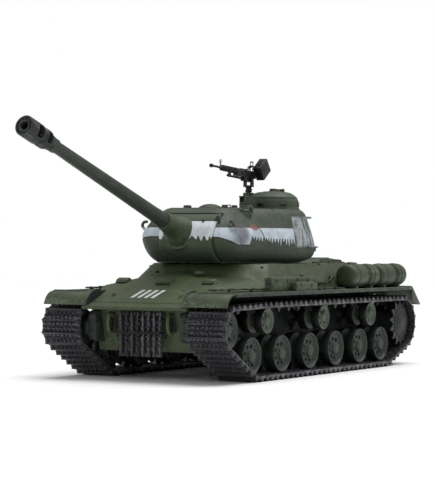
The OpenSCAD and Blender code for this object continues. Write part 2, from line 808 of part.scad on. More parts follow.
// Lid with a hinge pin and a periscope head
module commander_hatch() {
    color(GREEN) placed() {
        translate([cupola_at[0], cupola_at[1], 0]) {
            translate([0, 0, 172.1]) cylinder(r = hatch_r, h = 2.9);
            translate([0, 0, 175]) cylinder(r = 3.4, h = 3);
        }
        translate(hatch_hinge) {
            x_rod(hinge_r, -5, 5);
            x_rod(1.5, -2.6, 2.6);
            block([-2.6, -7.4, -1.4], [2.6, -0.2, 0.4]);
        }
    }
}

module loader_hatch() {
    z = turret_top;
    color(GREEN) placed() translate([loader_at[0], loader_at[1], 0]) {
        difference() {
            block([-12.4, -12.4, z + 0.3], [12.4, 12.4, z + 2.6]);
            for (a = [-1, 1])
                for (b = [-1, 1])
                    translate([a * 12.4, b * 12.4, z + 1]) rotate([0, 0, 45]) cube([6, 6, 5], center = true);
        }
        translate([4, 0, z + 2.6]) cylinder(r = 3, h = 2.4);
        translate([-14.5, 0, z + 1.9]) {
            y_rod(hinge_r, -7, 7);
            y_rod(1.6, -4.6, 4.6);
            block([0, -4.6, -1.3], [6, 4.6, 0.6]);
        }
    }
}

module at_mg() { translate([mg_at[0], mg_at[1], mg_pivot_z]) children(); }

// Pintle with a fork
module mg_mount() {
    color(GUNMETAL) placed() translate([mg_at[0], mg_at[1], 0]) {
        translate([0, 0, 168.3]) cylinder(r = 2, h = 7);
        translate([0, 0, 174.3]) cylinder(r = 3.2, h = 5.5);
        block([-4.6, -2.6, 179.6], [4.6, 2.6, 181.2]);
        for (s = [-1, 1])
            translate([0, 0, mg_pivot_z]) difference() {
                block([s * 3.8 - 0.8, -2.6, -5.6], [s * 3.8 + 0.8, 2.6, 2.4]);
                x_rod(hinge_r + running_gap, -6, 6);
            }
    }
}

// Receiver, cradle, finned barrel, sights, ammunition box and grips
module heavy_mg() {
    color(GUNMETAL) placed() at_mg() rotate([-mg_angle, 0, 0]) {
        x_rod(hinge_r, -4.4, 4.4);
        block([-2.4, -12, -2], [2.4, 5, 2]);
        translate([0, 0, 0.2]) y_rod(1.1, -40, -11);
        translate([0, 0, 6.4]) {
            block([-2.6, -27, -4.6], [2.6, 10, 3]);
            y_rod(2.4, -56, -26);
            for (i = [0:8]) y_rod(3, -54 + i * 3, -52.6 + i * 3);
            y_rod(1.1, -75, -55);
            translate([0, -75, 0]) sphere(r = 1.9);
            block([-0.6, -58, 1], [0.6, -56, 7.6]);
            block([-2.2, 4, 3], [2.2, 8, 13]);
            block([-4, 10, -1.6], [4, 13, -0.4]);
            for (s = [-3, 3]) translate([s, 13, -4]) cylinder(r = 0.9, h = 7);
        }
        // ammunition box on its tray
        translate([8.6, 10.5, 11.4]) rotate([40, 0, 0]) cube([8.4, 17, 14.5], center = true);
        block([2, 0, 4], [6, 6, 8]);
    }
}

lower_hull();
upper_hull();
engine_deck();
fenders();
fuel_drums();
spare_track_links();
stowage_boxes();
tow_hooks();
tow_cables();
battery_pack();
control_board();
drive_units();
traverse_motor();
traverse_pinion();
turret_shell();
turret_ring_gear();
mantlet();
gun_barrel();
muzzle_brake();
cupola();
commander_hatch();
loader_hatch();
mg_mount();
heavy_mg();
track("left");  // track_left
track("right");  // track_right
sprocket("left");  // sprocket_left
sprocket("right");  // sprocket_right
idler("left");  // idler_left
idler("right");  // idler_right
road_wheel("left", 0);  // road_wheel_left_1
road_wheel("left", 1);  // road_wheel_left_2
road_wheel("left", 2);  // road_wheel_left_3
road_wheel("left", 3);  // road_wheel_left_4
road_wheel("left", 4);  // road_wheel_left_5
road_wheel("left", 5);  // road_wheel_left_6
road_wheel("right", 0);  // road_wheel_right_1
road_wheel("right", 1);  // road_wheel_right_2
road_wheel("right", 2);  // road_wheel_right_3
road_wheel("right", 3);  // road_wheel_right_4
road_wheel("right", 4);  // road_wheel_right_5
road_wheel("right", 5);  // road_wheel_right_6
swing_arm("left", 0);  // swing_arm_left_1
swing_arm("left", 1);  // swing_arm_left_2
swing_arm("left", 2);  // swing_arm_left_3
swing_arm("left", 3);  // swing_arm_left_4
swing_arm("left", 4);  // swing_arm_left_5
swing_arm("left", 5);  // swing_arm_left_6
swing_arm("right", 0);  // swing_arm_right_1
swing_arm("right", 1);  // swing_arm_right_2
swing_arm("right", 2);  // swing_arm_right_3
swing_arm("right", 3);  // swing_arm_right_4
swing_arm("right", 4);  // swing_arm_right_5
swing_arm("right", 5);  // swing_arm_right_6
return_roller("left", 0);  // return_roller_left_1
return_roller("left", 1);  // return_roller_left_2
return_roller("left", 2);  // return_roller_left_3
return_roller("right", 0);  // return_roller_right_1
return_roller("right", 1);  // return_roller_right_2
return_roller("right", 2);  // return_roller_right_3
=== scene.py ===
"""Looks of a radio-controlled heavy tank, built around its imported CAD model."""
import random
from math import asin, atan, atan2, cos, hypot, pi, radians, sin, sqrt

import bpy
import numpy as np
from mathutils import Matrix, Vector


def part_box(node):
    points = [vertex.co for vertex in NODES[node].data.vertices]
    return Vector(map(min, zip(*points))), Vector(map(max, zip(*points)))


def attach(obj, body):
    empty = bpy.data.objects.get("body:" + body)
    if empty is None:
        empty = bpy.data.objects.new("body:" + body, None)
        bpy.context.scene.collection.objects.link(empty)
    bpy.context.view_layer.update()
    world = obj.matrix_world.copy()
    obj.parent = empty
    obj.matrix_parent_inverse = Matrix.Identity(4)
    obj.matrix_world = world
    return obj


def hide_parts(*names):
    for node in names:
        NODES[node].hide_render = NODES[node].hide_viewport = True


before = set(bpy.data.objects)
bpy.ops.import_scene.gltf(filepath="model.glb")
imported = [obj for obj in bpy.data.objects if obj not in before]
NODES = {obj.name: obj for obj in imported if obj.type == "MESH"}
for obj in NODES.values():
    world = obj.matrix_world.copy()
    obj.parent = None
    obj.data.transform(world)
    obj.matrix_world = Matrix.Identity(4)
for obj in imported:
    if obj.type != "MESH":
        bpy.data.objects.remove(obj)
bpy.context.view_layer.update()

SCENE = bpy.context.scene
MM = 0.001
RNG = random.Random(12)

# Everything is drawn in millimetres about the turret axis, as the CAD is, then moved by SHIFT.
ring_low, ring_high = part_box("turret_ring_gear")
SHIFT = (ring_low.y + ring_high.y) / 2 / MM

# ---- Sizes that the CAD model fixes, in millimetres ----
FENDER_Z, TURRET_Z, TURRET_TOP = 80, 105.6, 157
ARM_BACK, ARM_UP = 17, 10
HALF_WIDTH, TRACK_W = 96.5, 40.6
TRACK_X = HALF_WIDTH - TRACK_W / 2
WHEEL_R, AXLE_Z, ROLLER_R, ROLLER_Z = 17.2, 22.9, 12, 53.9
WHEEL_Y = [-116.5, -59, -2, 52.5, 106.5, 155.5]
ROLLER_Y = [-88, 26, 131.3]
IDLER = (-160.4, 47.4)
SPROCKET_R, TEETH = 22.8, 14
SPROCKET = (196.9, ROLLER_Z + ROLLER_R - SPROCKET_R)
TRUNNION = (-80.5, 128.8)
GUN_ANGLE = radians(18.9)
MANTLET_R, MANTLET_X = 22.5, (-20, 34.5)
GUN_REACH, BRAKE_L = 280.6, 40
CUPOLA = (28, 33)
LOADER = (-24, 22)
MG = (4, 27, 186.5)
SIDES = (("left", 1), ("right", -1))


# ---- Mesh making ----

class Solid:
    """Gathers closed shapes, in millimetres about the turret axis, for one piece."""

    def __init__(self):
        self.verts, self.faces, self.mats = [], [], []

    def add(self, verts, faces, mat=0, place=None):
        """Adds a closed shape, turned inside out again where its place mirrors it."""
        start = len(self.verts)
        if place is not None:
            verts = [place @ Vector(v) for v in verts]
            if place.determinant() < 0:
                faces = [tuple(reversed(f)) for f in faces]
        self.verts += [tuple(v) for v in verts]
        self.faces += [tuple(start + i for i in f) for f in faces]
        self.mats += [mat] * len(faces)
        return self

    def block(self, low, high, mat=0, place=None, taper=0.0):
        """A box; taper draws its top in on x and y by that many millimetres."""
        (x0, y0, z0), (x1, y1, z1) = low, high
        t = taper
        verts = [(x0, y0, z0), (x1, y0, z0), (x1, y1, z0), (x0, y1, z0),
                 (x0 + t, y0 + t, z1), (x1 - t, y0 + t, z1), (x1 - t, y1 - t, z1), (x0 + t, y1 - t, z1)]
        faces = [(3, 2, 1, 0), (4, 5, 6, 7), (0, 1, 5, 4), (1, 2, 6, 5), (2, 3, 7, 6), (3, 0, 4, 7)]
        return self.add(verts, faces, mat, place)

    def plate(self, outline, depth, mat=0, place=None):
        """An outline of (x, y) points, anticlockwise, from z = 0 up to depth."""
        n = len(outline)
        turn = sum(a[0] * b[1] - b[0] * a[1] for a, b in zip(outline, outline[1:] + outline[:1]))
        outline = outline if turn > 0 else outline[::-1]
        verts = [(x, y, 0) for x, y in outline] + [(x, y, depth) for x, y in outline]
        faces = [tuple(range(n - 1, -1, -1)), tuple(range(n, 2 * n))]
        faces += [(i, (i + 1) % n, n + (i + 1) % n, n + i) for i in range(n)]
        return self.add(verts, faces, mat, place)

    def side(self, outline, x0, x1, mat=0, place=None):
        """A plate whose side outline is (y, z) points, between two x values."""
        turn = Matrix(((0, 0, 1, x0), (1, 0, 0, 0), (0, 1, 0, 0), (0, 0, 0, 1)))
        return self.plate(outline, x1 - x0, mat, turn if place is None else place @ turn)

    def lathe(self, profile, mat=0, place=None, sides=32):
        """A profile of (radius, height) points turned about z; radius 0 closes an end."""
        verts, rows = [], []
        for r, h in profile:
            if r <= 1e-6:
                rows.append([len(verts)])
                verts.append((0, 0, h))
            else:
                rows.append(list(range(len(verts), len(verts) + sides)))
                verts += [(r * cos(2 * pi * i / sides), r * sin(2 * pi * i / sides), h) for i in range(sides)]
        faces = []
        loop = profile[0][0] > 1e-6 and profile[-1][0] > 1e-6
        pairs = list(zip(rows, rows[1:])) + ([(rows[-1], rows[0])] if loop else [])
        for a, b in pairs:
            for i in range(sides):
                j = (i + 1) % sides
                if len(a) == 1 and len(b) == 1:
                    continue
                if len(a) == 1:
                    faces.append((a[0], b[j], b[i]))
                elif len(b) == 1:
                    faces.append((a[i], a[j], b[0]))
                else:
                    faces.append((a[i], a[j], b[j], b[i]))
        return self.add(verts, faces, mat, place)

    def rod(self, a, b, r, mat=0, sides=12, place=None, r2=None):
        """A rod with chamfered ends from a to b."""
        a, b = Vector(a), Vector(b)
        length = (b - a).length
        r2 = r if r2 is None else r2
        c = min(r, r2, length / 2) * 0.22
        turn = Matrix.Translation(a) @ (b - a).to_track_quat("Z", "Y").to_matrix().to_4x4()
        if place is not None:
            turn = place @ turn
        profile = [(0, 0), (r - c, 0), (r, c), (r2, length - c), (r2 - c, length), (0, length)]
        return self.lathe(profile, mat, turn, sides)

    def ball(self, centre, r, mat=0, squash=1.0, sides=16, rings=8):
        """A ball, or a flattened one where squash is under 1."""
        profile = [(r * sin(pi * i / rings), -r * squash * cos(pi * i / rings)) for i in range(rings + 1)]
        profile[0] = (0, profile[0][1])
        profile[-1] = (0, profile[-1][1])
        return self.lathe(profile, mat, Matrix.Translation(centre), sides)

    def tube(self, points, r, mat=0, sides=10, place=None, wobble=0.0, twist=0.0):
        """A round tube through a list of points, closed at both ends."""
        points = [Vector(p) for p in points]
        verts, faces = [], []
        normal = None
        for i, p in enumerate(points):
            ahead = points[min(i + 1, len(points) - 1)] - points[max(i - 1, 0)]
            ahead.normalize()
            if normal is None:
                normal = ahead.orthogonal().normalized()
            normal = (normal - ahead * normal.dot(ahead)).normalized()
            side = ahead.cross(normal)
            for k in range(sides):
                t = 2 * pi * k / sides + twist * i
                q = r * (1 + wobble * cos(3 * 2 * pi * k / sides))
                verts.append(p + (normal * cos(t) + side * sin(t)) * q)
        for i in range(len(points) - 1):
            for k in range(sides):
                m = (k + 1) % sides
                faces.append((i * sides + k, i * sides + m, (i + 1) * sides + m, (i + 1) * sides + k))
        last = (len(points) - 1) * sides
        faces.append(tuple(range(sides - 1, -1, -1)))
        faces.append(tuple(last + k for k in range(sides)))
        return self.add(verts, faces, mat, place)

    def bolt(self, at, normal, r=0.9, h=0.6, mat=0, sides=6):
        """A bolt head on a surface."""
        turn = Matrix.Translation(Vector(at)) @ Vector(normal).to_track_quat("Z", "Y").to_matrix().to_4x4()
        return self.lathe([(0, -0.4), (r, -0.4), (r, h * 0.7), (r * 0.72, h), (0, h)], mat, turn, sides)

    def bolts(self, count, at_r, height, r, h, place=Matrix.Identity(4), start=0.0, mat=0):
        """A ring of bolt heads about a place's z axis."""
        out = place.to_3x3() @ Vector((0, 0, 1))
        for k in range(count):
            t = start + 2 * pi * k / count
            self.bolt(place @ Vector((at_r * cos(t), at_r * sin(t), height)), out, r, h, mat)
        return self

    def handle(self, a, b, lift, r, sides=8):
        """A bent bar from a to b that stands off by the vector lift."""
        a, b, lift = Vector(a), Vector(b), Vector(lift)
        return self.tube(smooth_path([a, a + lift, b + lift, b]), r, 0, sides)

    def weld(self, points, r=0.55, mat=0):
        """A weld bead along a line of points."""
        path = []
        for a, b in zip(points, points[1:]):
            a, b = Vector(a), Vector(b)
            steps = max(2, int((b - a).length / 0.9))
            path += [a.lerp(b, i / steps) for i in range(steps)]
        path.append(Vector(points[-1]))
        start = len(self.verts)
        self.tube(path, r, mat, 6)
        for i, p in enumerate(path):
            swell = 1 + 0.22 * sin(i * 2.4) + 0.1 * RNG.random()
            for k in range(6):
                j = start + i * 6 + k
                self.verts[j] = tuple(p + (Vector(self.verts[j]) - p) * swell)
        return self


def smooth_path(points, per=8):
    """Points along a smooth curve through the given ones."""
    p = [Vector(q) for q in points]
    p = [2 * p[0] - p[1]] + p + [2 * p[-1] - p[-2]]
    out = []
    for i in range(1, len(p) - 2):
        for k in range(per):
            t = k / per
            out.append(0.5 * (2 * p[i] + (p[i + 1] - p[i - 1]) * t
                              + (2 * p[i - 1] - 5 * p[i] + 4 * p[i + 1] - p[i + 2]) * t * t
                              + (3 * p[i] - p[i - 1] - 3 * p[i + 1] + p[i + 2]) * t ** 3))
    out.append(p[-2])
    return out


def to_mesh(name, solid, shift=SHIFT):
    """A Solid's mesh in metres, in the frame's own place unless shift is 0."""
    mesh = bpy.data.meshes.new(name)
    verts = [(x * MM, (y + shift) * MM, z * MM) for x, y, z in solid.verts]
    mesh.from_pydata(verts, [], solid.faces)
    mesh.polygons.foreach_set("material_index", solid.mats)
    mesh.update()
    return mesh


def as_object(name, mesh, materials=()):
    """A new object in the scene."""
    obj = bpy.data.objects.new(name, mesh)
    SCENE.collection.objects.link(obj)
    for m in materials:
        obj.data.materials.append(m)
    return obj


def apply_modifiers(obj):
    """Replaces an object's mesh by the result of its modifiers."""
    bpy.context.view_layer.update()
    evaluated = obj.evaluated_get(bpy.context.evaluated_depsgraph_get())
    mesh = bpy.data.meshes.new_from_object(evaluated)
    obj.modifiers.clear()
    obj.data = mesh
    return obj


def soften(obj, width=0.35, segments=2, angle=32):
    """Rounds the sharp edges by real bevels and shades the rest smooth."""
    if width:
        bevel = obj.modifiers.new("bevel", "BEVEL")
        bevel.width = width * MM
        bevel.segments = segments
        bevel.limit_method = "ANGLE"
        bevel.angle_limit = radians(angle)
        bevel.harden_normals = False
        apply_modifiers(obj)
    obj.data.shade_smooth()
    obj.data.set_sharp_from_angle(angle=radians(42))
    return obj


def piece(name, solid, body, materials, bevel=0.3, segments=2, replaces=(), sharp=32):
    """One visible piece: its mesh, bevels, materials and body."""
    obj = as_object(name, to_mesh(name, solid), materials)
    soften(obj, bevel, segments, sharp)
    return settle(obj, body, replaces)


def settle(obj, body, replaces=()):
    """Tells the frame an object's body and the CAD nodes it stands for."""
    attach(obj, body)
    if replaces:
        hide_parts(*replaces)
    return obj


def turned_to(axis, at=(0, 0, 0)):
    """Places a lathe's z axis along the given direction, at a point."""
    return Matrix.Translation(Vector(at)) @ Vector(axis).to_track_quat("Z", "Y").to_matrix().to_4x4()


def mirrored(side):
    """The tank's left side for 1, its mirror image on the right for -1."""
    return Matrix.Scale(side, 4, (1, 0, 0))


IN_GUN = Matrix.Translation((0, TRUNNION[0], TRUNNION[1])) @ Matrix.Rotation(-GUN_ANGLE, 4, "X")
ALONG_BORE = IN_GUN @ Matrix.Rotation(pi / 2, 4, "X")


# ---- Materials ----

def linear(*srgb):
    """A colour given as it looks, from 0 to 255, as the shader wants it."""
    def one(c):
        c /= 255
        return c / 12.92 if c <= 0.04045 else ((c + 0.055) / 1.055) ** 2.4
    return tuple(one(c) for c in srgb) + (1.0,)


class Nodes:
    """A small helper to wire one material's nodes."""

    def __init__(self, name):
        self.material = bpy.data.materials.new(name)
        self.material.use_nodes = True
        self.tree = self.material.node_tree
        self.shader = next(n for n in self.tree.nodes if n.type == "BSDF_PRINCIPLED")
        coord = self.node("ShaderNodeTexCoord")
        self.at = coord.outputs["Object"]
        self.geometry = self.node("ShaderNodeNewGeometry")

    def node(self, kind, **props):
        n = self.tree.nodes.new(kind)
        for key, value in props.items():
            setattr(n, key, value)
        return n

    def link(self, a, b):
        self.tree.links.new(a, b)

    def set(self, node, **inputs):
        for key, value in inputs.items():
            socket = node.inputs[key.replace("_", " ")]
            if hasattr(value, "links"):
                self.link(value, socket)
            else:
                socket.default_value = value
        return node

    def noise(self, scale, detail=4, roughness=0.55, at=None, distortion=0.0):
        n = self.node("ShaderNodeTexNoise")
        self.set(n, Vector=at or self.at, Scale=scale, Detail=detail, Roughness=roughness,
                 Distortion=distortion)
        return n.outputs["Fac"]

    def stretched(self, x, y, z):
        """The place in the material, scaled along each axis."""
        m = self.node("ShaderNodeMapping")
        self.set(m, Vector=self.at, Scale=(x, y, z))
        return m.outputs["Vector"]

    def ramp(self, fac, low, high, a=0.0, b=1.0):
        """Goes smoothly from a to b as fac goes from low to high."""
        n = self.node("ShaderNodeMapRange", clamp=True)
        n.interpolation_type = "SMOOTHSTEP"
        self.set(n, Value=fac, From_Min=low, From_Max=high, To_Min=a, To_Max=b)
        return n.outputs["Result"]

    def math(self, operation, a, b=0.0):
        n = self.node("ShaderNodeMath", operation=operation)
        for socket, value in zip(n.inputs, (a, b)):
            if hasattr(value, "links"):
                self.link(value, socket)
            else:
                socket.default_value = value
        return n.outputs[0]

    def plus(self, a, b):
        return self.math("ADD", a, b)

    def minus(self, a, b):
        return self.math("SUBTRACT", a, b)

    def times(self, first, *others):
        """The product of two or more values."""
        for other in others:
            first = self.math("MULTIPLY", first, other)
        return first

    def along(self, start, end, a=0.0, b=1.0):
        """A ramp along the tank, between two places in millimetres about the turret axis."""
        return self.ramp(self.axis("Y"), (SHIFT + start) * MM, (SHIFT + end) * MM, a, b)

    def mix(self, fac, a, b):
        n = self.node("ShaderNodeMix", data_type="RGBA")
        for key, value in ((0, fac), (6, a), (7, b)):
            if hasattr(value, "links"):
                self.link(value, n.inputs[key])
            else:
                n.inputs[key].default_value = value
        return n.outputs[2]

    def axis(self, letter):
        n = self.node("ShaderNodeSeparateXYZ")
        self.link(self.at, n.inputs[0])
        return n.outputs[letter]

    def facing_up(self):
        n = self.node("ShaderNodeSeparateXYZ")
        self.link(self.geometry.outputs["Normal"], n.inputs[0])
        return n.outputs["Z"]

    def edges(self, low=0.53, high=0.62):
        """Where the mesh has a ridge."""
        return self.ramp(self.geometry.outputs["Pointiness"], low, high)

    def hollows(self, low=0.47, high=0.40):
        """Where the mesh has a hollow."""
        return self.ramp(self.geometry.outputs["Pointiness"], low, high)

    def bump(self, height, distance, strength=1.0, onto=None):
        n = self.node("ShaderNodeBump")
        self.set(n, Height=height, Distance=distance, Strength=strength)
        if onto:
            self.link(onto, n.inputs["Normal"])
        return n.outputs["Normal"]

    def finish(self, colour, roughness, normal=None, metallic=0.0, specular=0.5):
        self.set(self.shader, Base_Color=colour, Roughness=roughness, Metallic=metallic,
                 Specular_IOR_Level=specular)
        if normal:
            self.link(normal, self.shader.inputs["Normal"])
        return self.material


def paint(name, base, pale, dark, cast=0.5, dust=0.35, wear=0.5, rough=0.55, marks=None):
    """Weathered matt paint: blotches, streaks, dust on top faces, worn edges, a cast or rolled grain."""
    n = Nodes(name)
    blotch = n.noise(26, 5, 0.6)
    colour = n.mix(n.ramp(blotch, 0.36, 0.66), linear(*base), linear(*pale))
    if marks:
        colour = marks(n, colour)
    streak = n.noise(1.0, 4, 0.6, n.stretched(150, 150, 16))
    colour = n.mix(n.ramp(streak, 0.56, 0.74, 0, 0.45), colour, linear(*dark))
    # Darker in the mesh's hollows, broken up by noise.
    hollow_darkening = n.ramp(n.noise(60, 4, 0.65), 0.42, 0.7, 0.35, 1.0)
    colour = n.mix(n.times(n.hollows(), hollow_darkening), colour, linear(*[c * 0.45 for c in dark]))
    up = n.ramp(n.facing_up(), 0.35, 0.95)
    settled = n.times(up, n.ramp(n.noise(45, 5, 0.65), 0.35, 0.7, 0.25, 1.0))
    colour = n.mix(n.times(settled, dust), colour, linear(104, 112, 94))
    chips = n.times(n.edges(), n.ramp(n.noise(420, 3, 0.7), 0.42, 0.58))
    colour = n.mix(n.times(chips, wear), colour, linear(112, 122, 106))
    scuff = n.ramp(n.noise(240, 4, 0.7), 0.66, 0.8, 0, 0.25)
    colour = n.mix(scuff, colour, linear(*[min(255, c * 1.25) for c in pale]))
    roughness = n.plus(n.ramp(n.noise(90, 4), 0.3, 0.7, -0.09, 0.12), rough)
    coarse = n.bump(n.noise(520, 5, 0.62), 0.0003, cast)
    fine = n.bump(n.noise(2600, 2, 0.5), 0.00006, 0.5, coarse)
    return n.finish(colour, roughness, fine, specular=0.42)


def bare_metal(name, base, pale, dark, rough=0.42, metallic=0.3, wear=0.5, dirt=0.15):
    """Dark worn steel, brighter on its ribs and darker in its hollows."""
    n = Nodes(name)
    colour = n.mix(n.ramp(n.noise(220, 5, 0.65), 0.35, 0.68), linear(*base), linear(*dark))
    # Pale on worn ribs; on the track shoes this is also a painted highlight.
    worn = n.times(n.edges(0.54, 0.72), n.ramp(n.noise(700, 3, 0.7), 0.35, 0.6, 0.0, wear))
    colour = n.mix(worn, colour, linear(*pale))
    # Darker in the mesh's hollows.
    colour = n.mix(n.hollows(), colour, linear(*[c * 0.5 for c in dark]))
    rust = n.ramp(n.noise(110, 5, 0.7), 0.58, 0.8, 0, dirt)
    colour = n.mix(rust, colour, linear(74, 70, 64))
    roughness = n.plus(n.ramp(n.noise(260, 4), 0.3, 0.7, -0.1, 0.12), rough)
    normal = n.bump(n.noise(1200, 5, 0.6), 0.00015, 0.5)
    return n.finish(colour, roughness, normal, metallic, 0.5)


def moulded(name, base, rough=0.4, metallic=0.0, grain=0.3, specular=0.5):
    """Plain plastic or plated metal with a light variation in tone, gloss and grain."""
    n = Nodes(name)
    tone = n.ramp(n.noise(80, 4), 0.3, 0.7)
    colour = n.mix(tone, linear(*base), linear(*[c * 0.82 for c in base]))
    roughness = n.plus(n.ramp(n.noise(300, 3), 0.3, 0.7, -0.06, 0.08), rough)
    normal = n.bump(n.noise(1800, 3), 0.0001, grain)
    return n.finish(colour, roughness, normal, metallic, specular)


def triangle_wave(n, value, pitch):
    """Rises and falls between 0 and 1 once for each pitch."""
    share = n.math("FRACT", n.math("DIVIDE", value, pitch))
    return n.math("ABSOLUTE", n.minus(n.times(share, 2.0), 1.0))


def brush_band(n, colour, low, high, tooth, keep, tones):
    """A rough white band with flame-like teeth below; returns the colour and the band's lower edge."""
    z = n.axis("Z")
    along = n.plus(n.times(n.axis("X"), 0.65), n.axis("Y"))
    drift = n.times(n.minus(n.noise(60, 3, 0.5), 0.5), 0.006)
    wave = triangle_wave(n, n.plus(along, drift), 0.0048)
    length = n.times(tooth, n.ramp(n.noise(120, 2), 0.35, 0.65, 0.55, 1.25))
    hang = n.times(n.ramp(wave, 0.15, 0.95), length)
    rough_edge = n.times(n.minus(n.noise(170, 4, 0.6), 0.5), 0.0016)
    bottom = n.minus(n.plus(low, rough_edge), hang)
    above = n.ramp(n.minus(z, bottom), -0.0001, 0.0003)
    top = n.plus(n.times(rough_edge, 0.3), high)
    band = n.times(above, n.ramp(n.minus(top, z), -0.0001, 0.0003))
    band = n.times(band, keep)
    worn = n.ramp(n.noise(260, 5, 0.72), 0.62, 0.72, 0.0, 0.6)
    band = n.times(band, n.minus(1.0, worn))
    white = n.mix(n.ramp(n.noise(70, 5, 0.6), 0.35, 0.7), linear(*tones[0]), linear(*tones[1]))
    return n.mix(band, colour, white), bottom


def paints():
    """Every material by its short name."""
    m = {}
    m["hull"] = paint("hull_green", (50, 62, 32), (59, 72, 39), (35, 43, 26), cast=0.55, dust=0.16)
    m["turret"] = paint("turret_green", (51, 61, 46), (61, 72, 54), (35, 42, 34), cast=0.75, dust=0.22,
                        marks=turret_marks)
    m["mantlet"] = paint("mantlet_green", (51, 62, 43), (61, 73, 51), (35, 42, 32), cast=0.7, dust=0.2,
                         marks=mantlet_marks)
    m["gun"] = paint("gun_green", (38, 45, 36), (46, 54, 43), (27, 32, 27), cast=0.2, dust=0.2)
    m["brake"] = paint("brake_green", (28, 31, 28), (34, 38, 34), (20, 22, 20), cast=0.3, dust=0.1, wear=0.3)
    m["plate"] = paint("plate_green", (48, 58, 36), (58, 69, 44), (33, 40, 28), cast=0.25, dust=0.2)
    m["nose"] = paint("nose_green", (58, 70, 40), (68, 80, 48), (40, 49, 31), cast=0.4, dust=0.15, wear=0.4)
    m["wheel"] = paint("wheel_green", (50, 57, 50), (66, 74, 64), (25, 29, 26), cast=0.6, dust=0.2, wear=0.7)
    m["roller"] = paint("roller_green", (74, 84, 70), (92, 102, 86), (36, 42, 36), cast=0.5, dust=0.2,
                        wear=0.6)
    # The tub's green is the hull's green darkened: painted shade low between and beside the tracks and under
    # the fenders, and also the dark colour of tools and clamps.
    m["tub"] = paint("tub_green_and_shade", (26, 31, 29), (33, 38, 35), (17, 20, 19), cast=0.4, dust=0.12, wear=0.3,
                     marks=tub_shade_marks)
    # The shoes' pale ribs are partly worn steel and partly a painted highlight.
    m["shoe"] = bare_metal("track_steel", (35, 34, 38), (134, 132, 138), (19, 19, 22), 0.4, 0.4, 0.7)
    m["tyre"] = bare_metal("worn_tyre", (24, 26, 27), (70, 72, 72), (15, 16, 17), 0.5, 0.2)
    m["gunmetal"] = bare_metal("gunmetal", (28, 30, 33), (76, 80, 84), (16, 17, 19), 0.42, 0.35)
    m["rope"] = bare_metal("steel_rope", (46, 46, 43), (94, 92, 86), (25, 25, 23), 0.5, 0.4)
    m["glass"] = moulded("dark_glass", (16, 20, 22), 0.08, 0.0, 0.05, 0.8)
    m["soot"] = moulded("burnt_steel", (20, 20, 20), 0.75, 0.2, 0.6)
    m["white"] = paint("white_marks", (206, 210, 208), (222, 226, 224), (140, 146, 140), cast=0.4, dust=0.1,
                       wear=0.2)
    m["board"] = moulded("circuit_green", (24, 84, 46), 0.35)
    m["cell"] = moulded("battery_sleeve", (40, 74, 140), 0.3)
    m["metal"] = moulded("plated_metal", (160, 160, 156), 0.3, 0.9)
    m["gear"] = moulded("gear_nylon", (214, 208, 188), 0.45)
    m["red"] = moulded("lens_red", (120, 22, 18), 0.2, 0.0, 0.05, 0.7)
    return m


def patch(n, axes, centre, size, soft=0.35, ragged=0.5):
    """A soft-edged blot round a point given on some axes, in millimetres."""
    total = 0.0
    for letter, at, half in zip(axes, centre, size):
        away = n.math("DIVIDE", n.minus(n.axis(letter), at * MM), half * MM)
        total = n.plus(n.times(away, away), total)
    total = n.plus(total, n.times(n.minus(n.noise(190, 5, 0.7), 0.5), ragged * 2))
    return n.ramp(total, 1.0, 1.0 - soft)


def tub_shade_marks(n, colour):
    """The tub's dark green is painted shade between the tracks; the rear plate is left out of it and keeps
    the hull's green.
    """
    rear = n.along(203, 205.5, 0.0, 0.85)
    return n.mix(rear, colour, linear(50, 61, 38))


def mantlet_marks(n, colour):
    """The band across the mantlet, which stops short of the gun's collar, and painted shade on its lower
    part.
    """
    y = n.minus(n.axis("Y"), (SHIFT + TRUNNION[0]) * MM)
    z = n.minus(n.axis("Z"), TRUNNION[1] * MM)
    x = n.axis("X")
    off = n.plus(n.times(y, sin(GUN_ANGLE)), n.times(z, cos(GUN_ANGLE)))
    off = n.math("SQRT", n.plus(n.times(x, x), n.times(off, off)))
    keep = n.ramp(off, 0.0150, 0.0157)
    colour = brush_band(n, colour, 0.1306, 0.1445, 0.0034, keep, ((224, 229, 231), (196, 203, 207)))[0]
    # Painted shade: darker towards the mantlet's lower part.
    shade = n.times(n.ramp(n.axis("Z"), 0.124, 0.110), n.ramp(n.noise(50, 4), 0.3, 0.7, 0.45, 0.8))
    return n.mix(shade, colour, linear(34, 40, 38))


